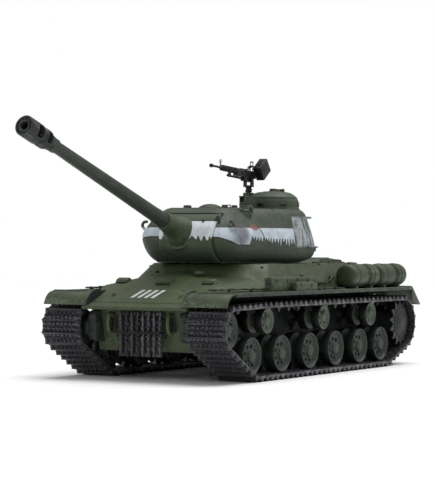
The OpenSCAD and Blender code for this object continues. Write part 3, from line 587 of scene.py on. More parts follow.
def turret_marks(n, colour):
    """The band down each side, an ink line and soot in front, chalky streaks behind, and painted shade low on
    the turret.
    """
    y, z = n.axis("Y"), n.axis("Z")
    near = n.ramp(n.axis("X"), 0.0, 0.012)
    behind = n.along(-59, -56)
    ahead = n.minus(1.0, behind)
    sag = n.times(n.along(-102, -72, 0.0, 0.0078), ahead)
    low = n.minus(n.along(-60, -10, 0.1308, 0.1288), sag)
    tooth = n.times(n.along(-60, -10, 0.0032, 0.0056), behind)
    keep = n.along(14, 13)
    colour, bottom = brush_band(n, colour, low, 0.1388, tooth, keep, ((196, 205, 213), (164, 174, 183)))
    ink = n.math("ABSOLUTE", n.minus(z, n.minus(bottom, 0.0004)))
    colour = n.mix(n.times(n.ramp(ink, 0.0007, 0.0004), ahead), colour, linear(18, 19, 20))
    slant = n.plus(y, n.times(n.minus(z, 0.1328), 0.56))
    slant = n.minus(slant, n.times(n.noise(140, 3), 0.003))
    slant = n.ramp(n.math("ABSOLUTE", n.minus(slant, (SHIFT - 39.4) * MM)), 0.0009, 0.0005)
    slant = n.times(slant, near, n.ramp(z, 0.1252, 0.126), n.ramp(z, 0.1398, 0.139))
    colour = n.mix(slant, colour, linear(20, 20, 21))
    soot = n.times(patch(n, "YZ", (SHIFT - 71, 135), (15, 17), 0.85, 0.35), near)
    colour = n.mix(n.times(soot, 0.74), colour, linear(66, 63, 72))
    red = n.times(patch(n, "YZ", (SHIFT - 48, 139), (6.4, 3.0), 0.4, 0.6), near)
    colour = n.mix(n.times(red, 0.85), colour, linear(128, 62, 56))
    streaks = n.noise(1.0, 5, 0.7, n.stretched(260, 260, 24))
    area = n.times(n.along(13, 16), n.ramp(z, 0.1195, 0.123), n.ramp(z, 0.1515, 0.148), n.along(74, 60))
    colour = n.mix(n.times(area, 0.6), colour, linear(104, 108, 109))
    chalk = n.times(area, n.ramp(streaks, 0.44, 0.56, 0.0, 0.85))
    colour = n.mix(chalk, colour, linear(172, 178, 183))
    stain = n.times(area, n.ramp(streaks, 0.42, 0.34, 0.0, 0.8))
    colour = n.mix(stain, colour, linear(52, 56, 56))
    # Painted shade: darker towards the turret's lower edge.
    return n.mix(n.times(n.ramp(z, 0.120, 0.107), 0.7), colour, linear(34, 40, 39))


M = paints()


# ---- Tracks ----

BELT = [(IDLER[0], IDLER[1], WHEEL_R), (ROLLER_Y[0], ROLLER_Z, ROLLER_R),
        (SPROCKET[0], SPROCKET[1], SPROCKET_R), (WHEEL_Y[-1], AXLE_Z, WHEEL_R),
        (WHEEL_Y[0], AXLE_Z, WHEEL_R)]
PIN_LINE, LINKS = 1.2, 87


def heading(i):
    """The belt's direction, as an angle above +Y, where it leaves the i-th wheel."""
    a, b = BELT[i % 5], BELT[(i + 1) % 5]
    d = (b[0] - a[0], b[1] - a[1])
    return atan2(d[1], d[0]) + asin((b[2] - a[2]) / hypot(*d))


def belt_parts():
    """Each arc and straight of the belt in turn, with its length."""
    parts = []
    for i, a in enumerate(BELT):
        b = BELT[(i + 1) % 5]
        turn = (heading(i - 1) - heading(i)) % (2 * pi)
        parts.append(("arc", i, turn * (a[2] + PIN_LINE)))
        parts.append(("run", i, sqrt((b[0] - a[0]) ** 2 + (b[1] - a[1]) ** 2 - (b[2] - a[2]) ** 2)))
    return parts


PARTS = belt_parts()
BELT_LENGTH = sum(p[2] for p in PARTS)
PITCH = BELT_LENGTH / LINKS


def belt_at(s):
    """The place and direction of the belt's inner face at a length along it."""
    for kind, i, length in PARTS:
        if s <= length:
            break
        s -= length
    y, z, r = BELT[i]
    h = heading(i - 1) - s / (r + PIN_LINE) if kind == "arc" else heading(i)
    ahead = s if kind == "run" else 0
    return y - r * sin(h) + ahead * cos(h), z + r * cos(h) + ahead * sin(h), h


def shoe(horned):
    """One cast shoe: knuckles on both edges, tooth windows, a tall middle grouser with ribs."""
    s = Solid()
    w = TRACK_W / 2
    for x0, x1 in ((-w, -15.3), (-11.6, 11.6), (15.3, w)):
        s.block((x0, -3.9, 0.3), (x1, 3.9, 2.1))
    for x0, x1 in ((-15.4, -11.5), (11.5, 15.4)):
        s.block((x0, -3.0, 1.5), (x1, 3.0, 1.95))
    for sign in (-1, 1):
        lo, hi = sorted((sign * 11.4, sign * 15.5))
        s.block((lo, -3.9, 0.3), (hi, -2.7, 2.1))
        s.block((lo, 2.7, 0.3), (hi, 3.9, 2.1))
    lane = TRACK_W / 9
    for i in range(9):
        x0 = -w + i * lane + 0.18
        x1 = -w + (i + 1) * lane - 0.18
        y = (PITCH / 2) * (1 if i % 2 else -1)
        s.rod((x0, y, PIN_LINE), (x1, y, PIN_LINE), 1.2, 0, 8)
        lo, hi = sorted((y, y * 0.72))
        s.block((x0, lo, 0.25), (x1, hi, 2.0))
    for x in (-w - 0.1, w + 0.1):
        s.rod((x * 0.97, -PITCH / 2, PIN_LINE), (x, -PITCH / 2, PIN_LINE), 0.75, 0, 8)
    # grouser: a bar that is thicker at its foot, with raised ends
    bar = [(-1.9, 1.9), (-1.05, 3.2), (-0.75, 5.3), (-0.45, 5.7), (0.45, 5.7), (0.75, 5.3), (1.05, 3.2),
           (1.9, 1.9)]
    s.side(bar, 0.6 - w, w - 0.6)
    for sign in (-1, 1):
        x0, x1 = sorted((sign * 16.6, sign * (w - 0.1)))
        s.block((x0, -2.7, 1.8), (x1, 2.7, 4.3), taper=0.55)
        x0, x1 = sorted((sign * 10.2, sign * 11.6))
        s.block((x0, -3.5, 1.9), (x1, 3.5, 3.5), taper=0.35)
    for x in (-6.6, -2.3, 2.3, 6.6):
        s.block((x - 0.65, -3.6, 1.9), (x + 0.65, 3.6, 3.7), taper=0.3)
    if horned:
        rows = [(-3.4, 0.4, 2.1), (-2.7, -1.6, 1.7), (-1.5, -4.4, 1.4), (-0.7, -5.2, 1.0)]
        for (y0, z0, h0), (y1, z1, h1) in zip(rows, rows[1:]):
            verts = [(-h0, y0, z0), (h0, y0, z0), (h0, -y0, z0), (-h0, -y0, z0),
                     (-h1, y1, z1), (h1, y1, z1), (h1, -y1, z1), (-h1, -y1, z1)]
            faces = [(0, 1, 2, 3), (7, 6, 5, 4), (1, 0, 4, 5), (2, 1, 5, 6), (3, 2, 6, 7), (0, 3, 7, 4)]
            s.add(verts, faces)
    return s


def local_mesh(name, solid, bevel):
    """The finished mesh of a piece that is drawn about its own origin."""
    obj = as_object(name, to_mesh(name, solid, 0))
    soften(obj, bevel, 1, 30)
    mesh = obj.data
    bpy.data.objects.remove(obj)
    return mesh


def merged(name, parts):
    """One mesh out of (mesh, matrix) pairs; the matrices are in millimetres."""
    verts, faces, mats, start = [], [], [], 0
    cache = {}
    for mesh, place in parts:
        if mesh.name not in cache:
            co = np.empty(len(mesh.vertices) * 3)
            mesh.vertices.foreach_get("co", co)
            cache[mesh.name] = (co.reshape(-1, 3) / MM, [tuple(p.vertices) for p in mesh.polygons],
                                [p.material_index for p in mesh.polygons])
        co, polys, index = cache[mesh.name]
        m = np.array(place)
        moved = co @ m[:3, :3].T + m[:3, 3]
        moved[:, 1] += SHIFT
        flip = place.determinant() < 0
        verts.append(moved * MM)
        faces += [tuple(start + v for v in (reversed(p) if flip else p)) for p in polys]
        mats += index
        start += len(co)
    out = bpy.data.meshes.new(name)
    out.from_pydata(np.concatenate(verts).tolist(), [], faces)
    out.polygons.foreach_set("material_index", mats)
    out.update()
    out.shade_smooth()
    out.set_sharp_from_angle(angle=radians(42))
    return out


SHOES = [local_mesh("shoe_horned", shoe(True), 0.22), local_mesh("shoe_plain", shoe(False), 0.22)]

for side, sign in SIDES:
    parts = []
    for i in range(LINKS):
        y, z, h = belt_at(BELT_LENGTH * (i + 0.5) / LINKS)
        rocking = Matrix.Rotation(radians(RNG.uniform(-1.1, 1.1)), 4, "X")
        x = sign * TRACK_X + RNG.uniform(-0.15, 0.15)
        place = Matrix.Translation((x, y, z)) @ Matrix.Rotation(h, 4, "X")
        parts.append((SHOES[i % 2], place @ rocking))
    track = as_object("track_shoes_" + side, merged("track_shoes_" + side, parts), [M["shoe"]])
    settle(track, "hull", ["track_" + side])


# ---- Wheels ----

def cut(obj, cutters, operation="DIFFERENCE"):
    """Cuts closed Solids or meshes out of an object, or adds them."""
    for shape in cutters:
        tool = as_object("tool", to_mesh("tool", shape) if isinstance(shape, Solid) else shape)
        mod = obj.modifiers.new("cut", "BOOLEAN")
        mod.operation = operation
        mod.solver = "MANIFOLD"
        mod.object = tool
        apply_modifiers(obj)
        bpy.data.objects.remove(tool)
        obj.data.materials.clear()
        obj.data.polygons.foreach_set("material_index", [0] * len(obj.data.polygons))
    return obj


def dished_wheel(name, r, rim, hub, recess, holes, hole_r, bolts):
    """A pair of dished discs with a worn steel rim, two rings of pockets and a bolted hub cap."""
    a = 11.9
    small_r = hole_r * 0.42
    small_at = rim - 2.2 - small_r
    mid = (hub + 0.9 + small_at - small_r) / 2
    lip = (r + rim) / 2
    face = a - recess

    def half(sign):
        flip = [(lip + 0.5, a - 0.45), (lip + 0.1, a), (rim + 0.2, a), (rim - 0.35, a - 0.5),
                (rim - 1.0, face + 0.5),
                (rim - 1.8, face), (hub + 1.6, face - 0.2), (hub + 0.7, face + 0.3), (hub + 0.2, a - 0.6)]
        return [(q, sign * h) for q, h in flip]

    outer = [(r - 0.5, a - 0.45), (r, a - 1.1), (r, 3.5), (r - 0.5, 3), (hub + 2, 3), (hub + 2, -3),
             (r - 0.5, -3),
             (r, -3.5), (r, 1.1 - a), (r - 0.5, 0.45 - a)]
    back = half(-1)
    front = half(1)
    profile = [(0, 9.9), (2.7, 9.9), (2.7, -a), (hub - 0.4, -a)] + back[::-1] + outer[::-1]
    profile += front + [(hub, a), (hub - 0.5, a + 0.3), (0, a + 0.3)]
    s = Solid().lathe(profile, 0, None, 56)
    obj = as_object(name, local_mesh(name, s, 0))
    pockets = Solid()
    for i in range(holes):
        t = 2 * pi * i / holes
        at = Vector((mid * cos(t), mid * sin(t), 0))
        pockets.lathe([(0, face - 2.6), (hole_r, face - 2.6), (hole_r, a), (0, a)], 0,
                      Matrix.Translation(at), 16)
        pockets.lathe([(0, -a), (hole_r, -a), (hole_r, 2.6 - face), (0, 2.6 - face)], 0,
                      Matrix.Translation(at), 16)
    for i in range(2 * holes):
        t = 2 * pi * (i + 0.5) / (2 * holes)
        at = Matrix.Translation((small_at * cos(t), small_at * sin(t), 0))
        pockets.lathe([(0, face - 1.6), (small_r, face - 1.6), (small_r, a), (0, a)], 0, at, 12)
    cut(obj, [to_mesh("pockets", pockets, 0)])
    soften(obj, 0.18, 1, 40)
    base = obj.data
    bpy.data.objects.remove(obj)
    extra = Solid()
    for i in range(holes):
        t = 2 * pi * i / holes
        at = (mid * cos(t), mid * sin(t), face - 0.15)
        ring = [(hole_r + 0.05, 0), (hole_r + 0.5, 0), (hole_r + 0.4, 0.35), (hole_r + 0.1, 0.35)]
        extra.lathe(ring, 0, Matrix.Translation(at), 16)
    extra.bolts(bolts, hub - 1.1, a + 0.1, 0.5, 0.5, start=pi / bolts)
    cap = hub * 0.5
    extra.lathe([(0, a - 0.4), (cap, a - 0.4), (cap, a + 0.5), (cap * 0.8, a + 0.62), (cap * 0.5, a + 0.6),
                 (cap * 0.45, a + 0.45), (0, a + 0.5)], 0, None, 20)
    detail = local_mesh(name + "_detail", extra, 0.08)
    both = merged_local(name, [base, detail])
    paint_rim(both, lip)
    return both


def merged_local(name, meshes):
    """One mesh out of several that share an origin."""
    verts, faces, start = [], [], 0
    for mesh in meshes:
        verts += [tuple(v.co) for v in mesh.vertices]
        faces += [tuple(start + v for v in p.vertices) for p in mesh.polygons]
        start = len(verts)
    out = bpy.data.meshes.new(name)
    out.from_pydata(verts, [], faces)
    out.update()
    out.shade_smooth()
    out.set_sharp_from_angle(angle=radians(38))
    return out


def paint_rim(mesh, r):
    """Gives the outer band of a wheel its second material."""
    for p in mesh.polygons:
        c = p.center
        if hypot(c.x, c.y) / MM > r + 0.1:
            p.material_index = 1


def toothed_wheel():
    """Two toothed rings with hooked teeth on a drum, and a bolted dome."""
    s = Solid()
    lane, r, root = 13.4, SPROCKET_R, SPROCKET_R - 3.2
    outline = []
    for i in range(TEETH):
        for turn, radius in ((-0.30, root), (-0.16, r - 0.4), (-0.09, r + 1.1), (0.09, r + 1.1),
                             (0.16, r - 0.4),
                             (0.30, root), (0.5, root - 0.5)):
            t = 2 * pi * (i + turn) / TEETH
            outline.append((radius * cos(t), radius * sin(t)))
    for z in (-lane - 1.2, lane - 1.2):
        s.plate(outline, 2.4, 1, Matrix.Translation((0, 0, z)))
    s.lathe([(0, -lane), (13, -lane), (12, -8), (12, 8), (13, lane - 1), (0, lane - 1)], 0, None, 40)
    s.lathe([(0, lane), (15.2, lane), (15.2, lane + 1.6), (14.4, lane + 1.9), (13.2, lane + 1.4),
             (11.8, lane + 1.5), (10.6, lane + 2.4), (8.6, lane + 3), (6.4, lane + 3.1), (5.6, lane + 3.6),
             (0, lane + 3.6)], 0, None, 40)
    s.lathe([(0, -31), (2.5, -31), (2.5, -lane + 0.5), (0, -lane + 0.5)], 0, None, 20)
    s.bolts(TEETH, 17.2, lane + 1.2, 0.85, 0.6, start=pi / TEETH, mat=1)
    s.bolts(TEETH, 14.3, lane + 1.5, 0.5, 0.7, start=pi / TEETH)
    s.bolts(8, 7.6, lane + 2.9, 0.55, 0.5)
    s.bolt((0, 0, lane + 3.4), (0, 0, 1), 2.2, 0.3, 0, 20)
    return local_mesh("toothed_wheel", s, 0.25)


def set_wheel(name, mesh, materials, node, sign, y, z, turn):
    """Sets a wheel's mesh on its axle, facing outwards; its body has its node's name."""
    obj = as_object(name, mesh)
    if not mesh.materials:
        for m in materials:
            mesh.materials.append(m)
    facing = Matrix.Rotation(sign * pi / 2, 4, "Y") @ Matrix.Rotation(turn, 4, "Z")
    obj.matrix_world = Matrix.Translation((sign * TRACK_X * MM, (y + SHIFT) * MM, z * MM)) @ facing
    return settle(obj, node, [node])


ROAD = dished_wheel("road_wheel_disc", WHEEL_R, 15.8, 5.6, 2.9, 8, 1.95, 8)
IDLE = dished_wheel("idler_disc", WHEEL_R, 15.8, 5.6, 2.4, 8, 1.95, 8)
ROLL = dished_wheel("roller_disc", ROLLER_R, 10.7, 3.9, 2.0, 6, 1.35, 6)
DRIVE = toothed_wheel()
WHEEL_PAINT = [M["wheel"], M["tyre"]]
ROLLER_PAINT = [M["roller"], M["tyre"]]

for side, sign in SIDES:
    for i, y in enumerate(WHEEL_Y):
        n = "%s_%d" % (side, i + 1)
        set_wheel("wheel_" + n, ROAD, WHEEL_PAINT, "road_wheel_" + n, sign, y, AXLE_Z, RNG.uniform(0, pi / 4))
    for i, y in enumerate(ROLLER_Y):
        n = "%s_%d" % (side, i + 1)
        set_wheel("roller_" + n, ROLL, ROLLER_PAINT, "return_roller_" + n, sign, y, ROLLER_Z,
                  RNG.uniform(0, pi / 3))
    set_wheel("idler_wheel_" + side, IDLE, WHEEL_PAINT, "idler_" + side, sign, *IDLER, RNG.uniform(0, pi / 4))
    set_wheel("drive_wheel_" + side, DRIVE, [M["tub"], M["shoe"]], "sprocket_" + side, sign, *SPROCKET, 0.06)

# ---- Hull ----

NOSE_Y, NOSE_Z, GLACIS, RIDGE_Y = -178, 67, 0.383, -131
REAR_Y, REAR_PLATE_Y, VISOR_Y = 235, 206, -123.3
DECK_TILT = radians(-20.6)


def glacis_z(y):
    """Height of the sloping nose plate at a place along the tank."""
    return NOSE_Z + GLACIS * (y - NOSE_Y)


def on_glacis(x, y):
    """A place on the nose plate, tilted with it."""
    return Matrix.Translation((x, y, glacis_z(y))) @ Matrix.Rotation(atan(GLACIS), 4, "X")


def top_z(x, y):
    """Height of the casting's shoulder."""
    return glacis_z(RIDGE_Y) - 0.15 * (abs(x) - 60) + 0.1 * (y - RIDGE_Y)


def cast(obj, voxel, rounds, keep, factor=0.5):
    """Rounds a shape as a sand casting is: an even fine mesh, relaxed, then thinned."""
    remesh = obj.modifiers.new("remesh", "REMESH")
    remesh.mode = "VOXEL"
    remesh.voxel_size = voxel * MM
    relax = obj.modifiers.new("relax", "SMOOTH")
    relax.factor = factor
    relax.iterations = rounds
    thin = obj.modifiers.new("thin", "DECIMATE")
    thin.ratio = keep
    apply_modifiers(obj)
    obj.data.shade_smooth()
    obj.data.set_sharp_from_angle(angle=radians(60))
    return obj


def copy_of(node, name):
    """A new object with a copy of a CAD node's mesh."""
    mesh = NODES[node].data.copy()
    mesh.materials.clear()
    for p in mesh.polygons:
        p.material_index = 0
    return as_object(name, mesh)


hull = cast(copy_of("upper_hull", "hull_casting"), 1.0, 4, 0.3)
hull.data.materials.append(M["hull"])
settle(hull, "hull", ["upper_hull"])

# Beads of weld and cast seams on the upper hull
s = Solid()
s.weld([(-56, NOSE_Y + 9, glacis_z(NOSE_Y + 9) + 0.1), (56, NOSE_Y + 9, glacis_z(NOSE_Y + 9) + 0.1)], 0.5)
for sign in (1, -1):
    s.weld([(sign * 60.4, -142.5, 80.5), (sign * 62, -134, 80.6), (sign * 78.2, -88, 80.6),
            (sign * 78.4, -40, 80.6),
            (sign * 78.4, 200, 80.6)], 0.6)
    s.weld([(sign * 72, -40.4, 86.8), (sign * 64, -40.8, 96.5), (sign * 60, -41, top_z(60, -41) + 0.1)], 0.5)
    s.weld([(sign * 62.6, 80, 105), (sign * 62.6, 149, 105)], 0.45)
s.weld([(-60, 151.5, 104.6), (60, 151.5, 104.6)], 0.5)
s.weld([(-60, 204.6, 84.4), (60, 204.6, 84.4)], 0.5)
piece("hull_welds", s, "hull", [M["hull"]], bevel=0)

# Lip under the nose
s = Solid()
s.rod((-55, NOSE_Y + 0.9, NOSE_Z - 0.6), (55, NOSE_Y + 0.9, NOSE_Z - 0.6), 1.0, 0, 12)
for x in range(-50, 51, 10):
    s.bolt((x, NOSE_Y + 0.1, NOSE_Z - 1.7), (0, -1, -0.2), 0.6, 0.5)
s.side([(-161.9, 63.2), (-161.1, 63.2), (-152.4, 26.6), (-153.1, 26.6)], -51.4, 51.4, 1)
for x in range(-40, 41, 8):
    s.bolt((x, -161.6, 60.4), (0, -1, -0.25), 0.7, 0.6, 1)
piece("nose_lip", s, "hull", [M["plate"], M["nose"]], bevel=0.15)

# Driver's visor: a raised hood over a vision slit, with a plug and bolts
at = on_glacis(0, VISOR_Y)
s = Solid()
s.block((-8.6, -5.2, -1.2), (8.6, 4.8, 3.2), 0, at, 1.6)
s.block((-6.2, -5.9, 0.2), (6.2, -4.1, 2.4), 0, at, 0.3)
s.rod((-6.6, 4.6, 1.6), (6.6, 4.6, 1.6), 1.2, 0, 12, at)
for x in (-7.2, 7.2):
    for y in (-4, 3.2):
        s.bolt(at @ Vector((x, y, 1.4)), at.to_3x3() @ Vector((x * 0.08, 0, 1)), 0.7, 0.8)
piece("driver_visor", s, "hull", [M["hull"]], bevel=0.7, segments=3)
s = Solid()
s.block((-4.6, -6.15, 0.9), (4.6, -5.7, 1.7), 0, at)
piece("visor_glass", s, "hull", [M["glass"]], bevel=0.1)

# Plain slanted bars stand for the marking on the glacis
s = Solid()
for k in range(4):
    x = -15.6 + k * 7.1
    s.plate([(x, -9.2), (x + 3.4, -9.2), (x + 6.0, 9.2), (x + 2.6, 9.2)], 0.25, 0, on_glacis(0, -149.5) @
            Matrix.Translation((0, 0, -0.02)))
piece("glacis_bars", s, "hull", [M["white"]], bevel=0)

# A slotted block and a plug on each side of the glacis
for side, sign in SIDES:
    s = Solid()
    m = mirrored(sign)
    s.block((34.3, -157, 74.6), (36.9, -150.6, 78), 0, m, 0.5)
    at = on_glacis(sign * 46, -121.5)
    s.block((-7.5, -4.4, -1.5), (7.5, 4.4, 2.6), 0, at, 1.7)
    s.rod((-5.4, -4.2, 1.2), (5.4, -4.2, 1.2), 1.0, 0, 12, at)
    s.bolt(m @ Vector((30, -140, glacis_z(-140))), (0, -0.36, 0.93), 1.6, 0.7)
    piece("glacis_fittings_" + side, s, "hull", [M["plate"]], bevel=0.25)

# ---- Fenders ----

Z = FENDER_Z
for side, sign in SIDES:
    m = mirrored(sign)
    s = Solid()
    outline = [(-178.6, 67.8), (-177.2, 71.4), (-174.8, 74.8), (-171.8, 77.4), (-168, 79.2), (-163, Z),
               (215, Z),
               (REAR_Y, 62), (REAR_Y - 1.4, 60.9), (214.2, Z - 1.5), (-163, Z - 1.5), (-168.4, 77.8),
                (-171.2, 76),
               (-173.8, 73.7), (-176, 70.6), (-177.2, 67.6)]
    s.side(outline, 56.8, HALF_WIDTH - 0.2, 0, m)
    s.side([(-177, 68), (-175.8, 70.6), (-173.6, 73.8), (-171, 76), (-168.2, 77.8), (-163, Z - 1.2),
            (-92, Z - 1.2),
            (-92, Z - 4), (-150, 73.4), (-171, 70.4)], 56.8, 58.0, 0, m)
    # the mudguard's inner end curls over the corner of the nose
    curl = [(-178.4, 67.8), (-177, 71.4), (-174.6, 74.8), (-171.6, 77.4), (-167.8, 79.2), (-162.8, Z),
            (-152, 80.6),
            (-144, 81.4)]
    s.side(curl + [(-144, 78.5), (-163, Z - 1.5), (-168.4, 77.8), (-171.2, 76), (-173.8, 73.7), (-176, 70.6),
                   (-177.2, 67.6)], 51, 57.2, 0, m)
    # Painted shade: the plate closing the mudguard's inner end takes the tub's dark green.
    s.side([(-177.9, 66.6), (-176.4, 71.8), (-173.8, 75.6), (-170.4, 78.6), (-165.6, 80.9), (-159.6, 82.2),
            (-154.4, 82), (-151.6, 80), (-152.6, 75), (-160, 70), (-170, 66.4)], 50, 51.4, 1, m)
    s.side([(214, Z - 1.4), (REAR_Y - 1.4, 61.2), (214, 65)], HALF_WIDTH - 1.1, HALF_WIDTH - 0.1, 0, m)
    s.block((51.6, 184, 66), (55.1, 210, Z - 0.6), 1, m)
    s.side([(196, Z - 1.2), (214, Z - 1.2), (232, 62.2), (222.5, 62), (215, 67.6), (206, 72), (196, 73.4)],
           56.8, 58.0,
           0, m)
    # Painted shade: the lower strip of the fender's outer lip takes the tub's dark green.
    s.block((HALF_WIDTH - 0.9, -163, Z - 3.2), (HALF_WIDTH, 214.6, Z - 0.4), 1, m)
    s.block((HALF_WIDTH - 0.9, -163, Z - 0.6), (HALF_WIDTH, 214.6, Z + 0.35), 0, m)
    # pressed ribs, hinge lines and clips
    for y in (-128, -92, -50, 12, 64, 146, 208):
        s.block((79.2 if y > -90 else 62, y - 0.7, Z - 0.3), (HALF_WIDTH - 1.4, y + 0.7, Z + 0.45), 0, m,
                0.25)
    s.rod((58.5, -163, Z + 0.1), (HALF_WIDTH - 1.5, -163, Z + 0.1), 0.85, 0, 10, m)
    s.rod((58.5, 215, Z + 0.1), (HALF_WIDTH - 1.5, 215, Z + 0.1), 0.85, 0, 10, m)
    for k in range(6):
        x = 61 + k * 6.4
        s.bolt(m @ Vector((x, -166.2, 79.7)), (0, -0.3, 1), 0.65, 0.55)
        s.bolt(m @ Vector((x, -159.6, Z)), (0, 0, 1), 0.65, 0.55)
        s.bolt(m @ Vector((x, 219.4, 76.4)), (0, 0.67, 0.74), 0.65, 0.55)
    for k in range(34):
        s.bolt(m @ Vector((HALF_WIDTH - 0.1, -158 + k * 11, Z - 1.5)), (sign, 0, 0), 0.45, 0.4, 0, 8)
    # gussets under the plate
    for y in (-120, -60, 0, 60, 120, 180):
        s.side([(y - 0.6, Z - 1.4), (y + 0.6, Z - 1.4), (y + 0.6, Z - 5), (y - 0.6, Z - 5)], 57.5, 66, 0, m)
    # ball-ended arm inside the front mudguard
    s.ball(m @ Vector((58.6, -171.5, 73.2)), 1.9)
    s.rod((58.4, -171.5, 73.2), (58.4, -164, 77.4), 0.8, 0, 10, m)
    piece("fender_" + side, s, "hull", [M["plate"], M["tub"]], bevel=0.22, segments=2,
          replaces=["fenders"] if sign > 0 else [])

# ---- Fuel drums ----

R, DRUM_L, DRUM_X = 11.5, 62.5, 84.3
for side, sign in SIDES:
    m = mirrored(sign)
    for k, y in enumerate((78, 143)):
        along = m @ Matrix.Translation((DRUM_X, y, FENDER_Z + R + 1.2)) @ Matrix.Rotation(-pi / 2, 4, "X")
        s = Solid()
        profile = [(0, 0.6), (2, 0.4), (5.6, 0.7), (8.8, 1.4), (10.4, 2.5), (11.0, 3.6), (11.35, 5.2),
                   (R, 6.6), (R, 30.6),
                   (R - 0.12, 31.2), (R, 31.8), (R, 41)]
        back = [(q, DRUM_L - h) for q, h in profile[:9]]
        s.lathe(profile + list(reversed(back)), 0, along, 56)
        ends = Solid()
        for h in (13.4, DRUM_L - 15.6):
            ends.lathe([(R - 0.1, h), (R + 0.36, h), (R + 0.42, h + 0.3), (R + 0.42, h + 1.7),
                        (R + 0.36, h + 2),
                        (R - 0.1, h + 2)], 0, along, 56)
            ends.block((R + 0.2, -1.1, h - 0.3), (R + 1.9, 1.1, h + 2.6), 0,
                       along @ Matrix.Rotation(2.3, 4, "Z"), 0.2)
            ends.bolt(along @ Matrix.Rotation(2.3, 4, "Z") @ Vector((R + 1.8, 0, h + 1.1)),
                      (along @ Matrix.Rotation(2.3, 4, "Z")).to_3x3() @ Vector((1, 0, 0)), 0.55, 0.5)
        s.lathe([(0, R - 0.6), (2.6, R - 0.6), (2.6, R + 0.7), (2.2, R + 1.2), (0, R + 1.3)], 0,
                along @ Matrix.Rotation(-pi / 2, 4, "X") @ Matrix.Rotation(pi, 4, "X") @
                Matrix.Translation((0, -DRUM_L + 9, 0)), 20)
        for h in (8, DRUM_L - 8):
            for j in range(3):
                t = j * 2.1 + 0.4
                s.ball(along @ Vector((7.4 * cos(t), 7.4 * sin(t), 1.8 if h < 20 else DRUM_L - 1.8)), 0.7)
        piece("fuel_drum_%s_%d" % (side, k + 1), s, "hull", [M["plate"]], bevel=0,
              replaces=["fuel_drums"] if sign > 0 and k == 0 else [])
        for h in (11, 45):
            ends.block((-5.4, y + h, FENDER_Z - 0.2), (8, y + h + 4.5, FENDER_Z + 2.7), 0,
                       m @ Matrix.Translation((DRUM_X, 0, 0)), 0.5)
        piece("drum_straps_%s_%d" % (side, k + 1), ends, "hull", [M["hull"]], bevel=0.15)

# ---- Boxes on the fenders ----


def chest(name, low, high, lid, sign, latches, replaces=()):
    """A sheet-metal chest with a lipped lid, hinges, latches, handles and stiffening panels."""
    (x0, y0, z0), (x1, y1, z1) = low, high
    s = Solid()
    s.block(low, (x1, y1, lid), 0)
    s.block((x0 - 0.35, y0 - 0.5, lid - 1.0), (x1 + 0.35, y1 + 0.5, z1), 0, None, 0.35)
    s.block((x0 + 1.2, y0 + 2, z1 - 0.1), (x1 - 1.2, y1 - 2, z1 + 0.35), 0, None, 0.4)
    face = x1 if sign > 0 else x0
    span = (y1 - y0) / latches
    for k in range(latches):
        y = y0 + span * (k + 0.5)
        a, b = sorted((face - sign * 0.2, face + sign * 0.75))
        s.block((a, y - 1.2, lid - 3.2), (b, y + 1.2, lid + 0.6), 0, None, 0.1)
        s.rod((face + sign * 0.6, y - 1.5, lid - 0.4), (face + sign * 0.6, y + 1.5, lid - 0.4), 0.45, 0, 8)
        a, b = sorted((face - sign * 0.1, face + sign * 0.3))
        s.block((a, y - span * 0.36, z0 + 1.6), (b, y + span * 0.36, lid - 4), 0, None, 0.1)
    for y, d in ((y0, -1), (y1, 1)):
        mid = (x0 + x1) / 2
        s.handle((mid - 2, y, lid - 3), (mid + 2, y, lid - 3), (0, d * 1.4, -0.8), 0.4)
    back = x0 if sign > 0 else x1
    for k in range(3):
        y = y0 + (y1 - y0) * (k + 0.5) / 3
        s.rod((back, y - 2, lid), (back, y + 2, lid), 0.7, 0, 8)
    piece(name, s, "hull", [M["plate"]], bevel=0.25, replaces=replaces)


chest("long_locker", (80.4, -80, 80), (87.4, 4, 92.9), 91.4, 1, 4, replaces=["stowage_boxes"])
chest("tool_box", (88.2, -44, 80), (94.6, -2, 88.1), 86.8, 1, 2)
chest("right_locker", (-94, 0, 80), (-81, 56, 91.3), 89.8, -1, 3)

# Tools strapped to the fenders: a spade and a pry bar on the left, a saw bar and a jack on the right
s = Solid()
s.rod((92, 10, 81.4), (92, 48, 81.4), 0.9)
s.block((89.8, 48, 80.6), (94.2, 60, 81.8), 0, None, 0.5)
s.rod((90.4, 8, 81.2), (94, 8, 81.2), 0.8)
for y in (16, 40):
    s.block((89.6, y, 79.9), (94.6, y + 1.6, 82.6), 0, None, 0.3)
s.rod((82.4, 10, 81), (82.4, 66, 81), 0.7)
piece("left_tools", s, "hull", [M["tub"]], bevel=0.2)
s = Solid()
s.rod((-88, -70, 82.6), (-88, -48, 82.6), 2.4, 0, 16)
s.rod((-88, -48, 82.6), (-88, -40, 82.6), 1.6, 0, 16)
s.block((-91, -74, 80), (-85, -70, 84.6), 0, None, 0.4)
s.rod((-92.6, -84, 81), (-92.6, -20, 81), 0.7)
for y in (-66, -52):
    s.block((-91.6, y, 79.9), (-84.4, y + 1.6, 85.4), 0, None, 0.6)
piece("right_tools", s, "hull", [M["tub"]], bevel=0.25)

# ---- Ropes, hooks and spare links ----


def rope(name, points, r, sign, material, replaces=()):
    """A laid steel rope: strands wound round a smooth path."""
    s = Solid()
    s.tube(smooth_path(points, 12), r * 0.98, 0, 12, mirrored(sign), wobble=0.12, twist=0.16)
    return piece(name, s, "hull", [material], bevel=0, replaces=replaces)


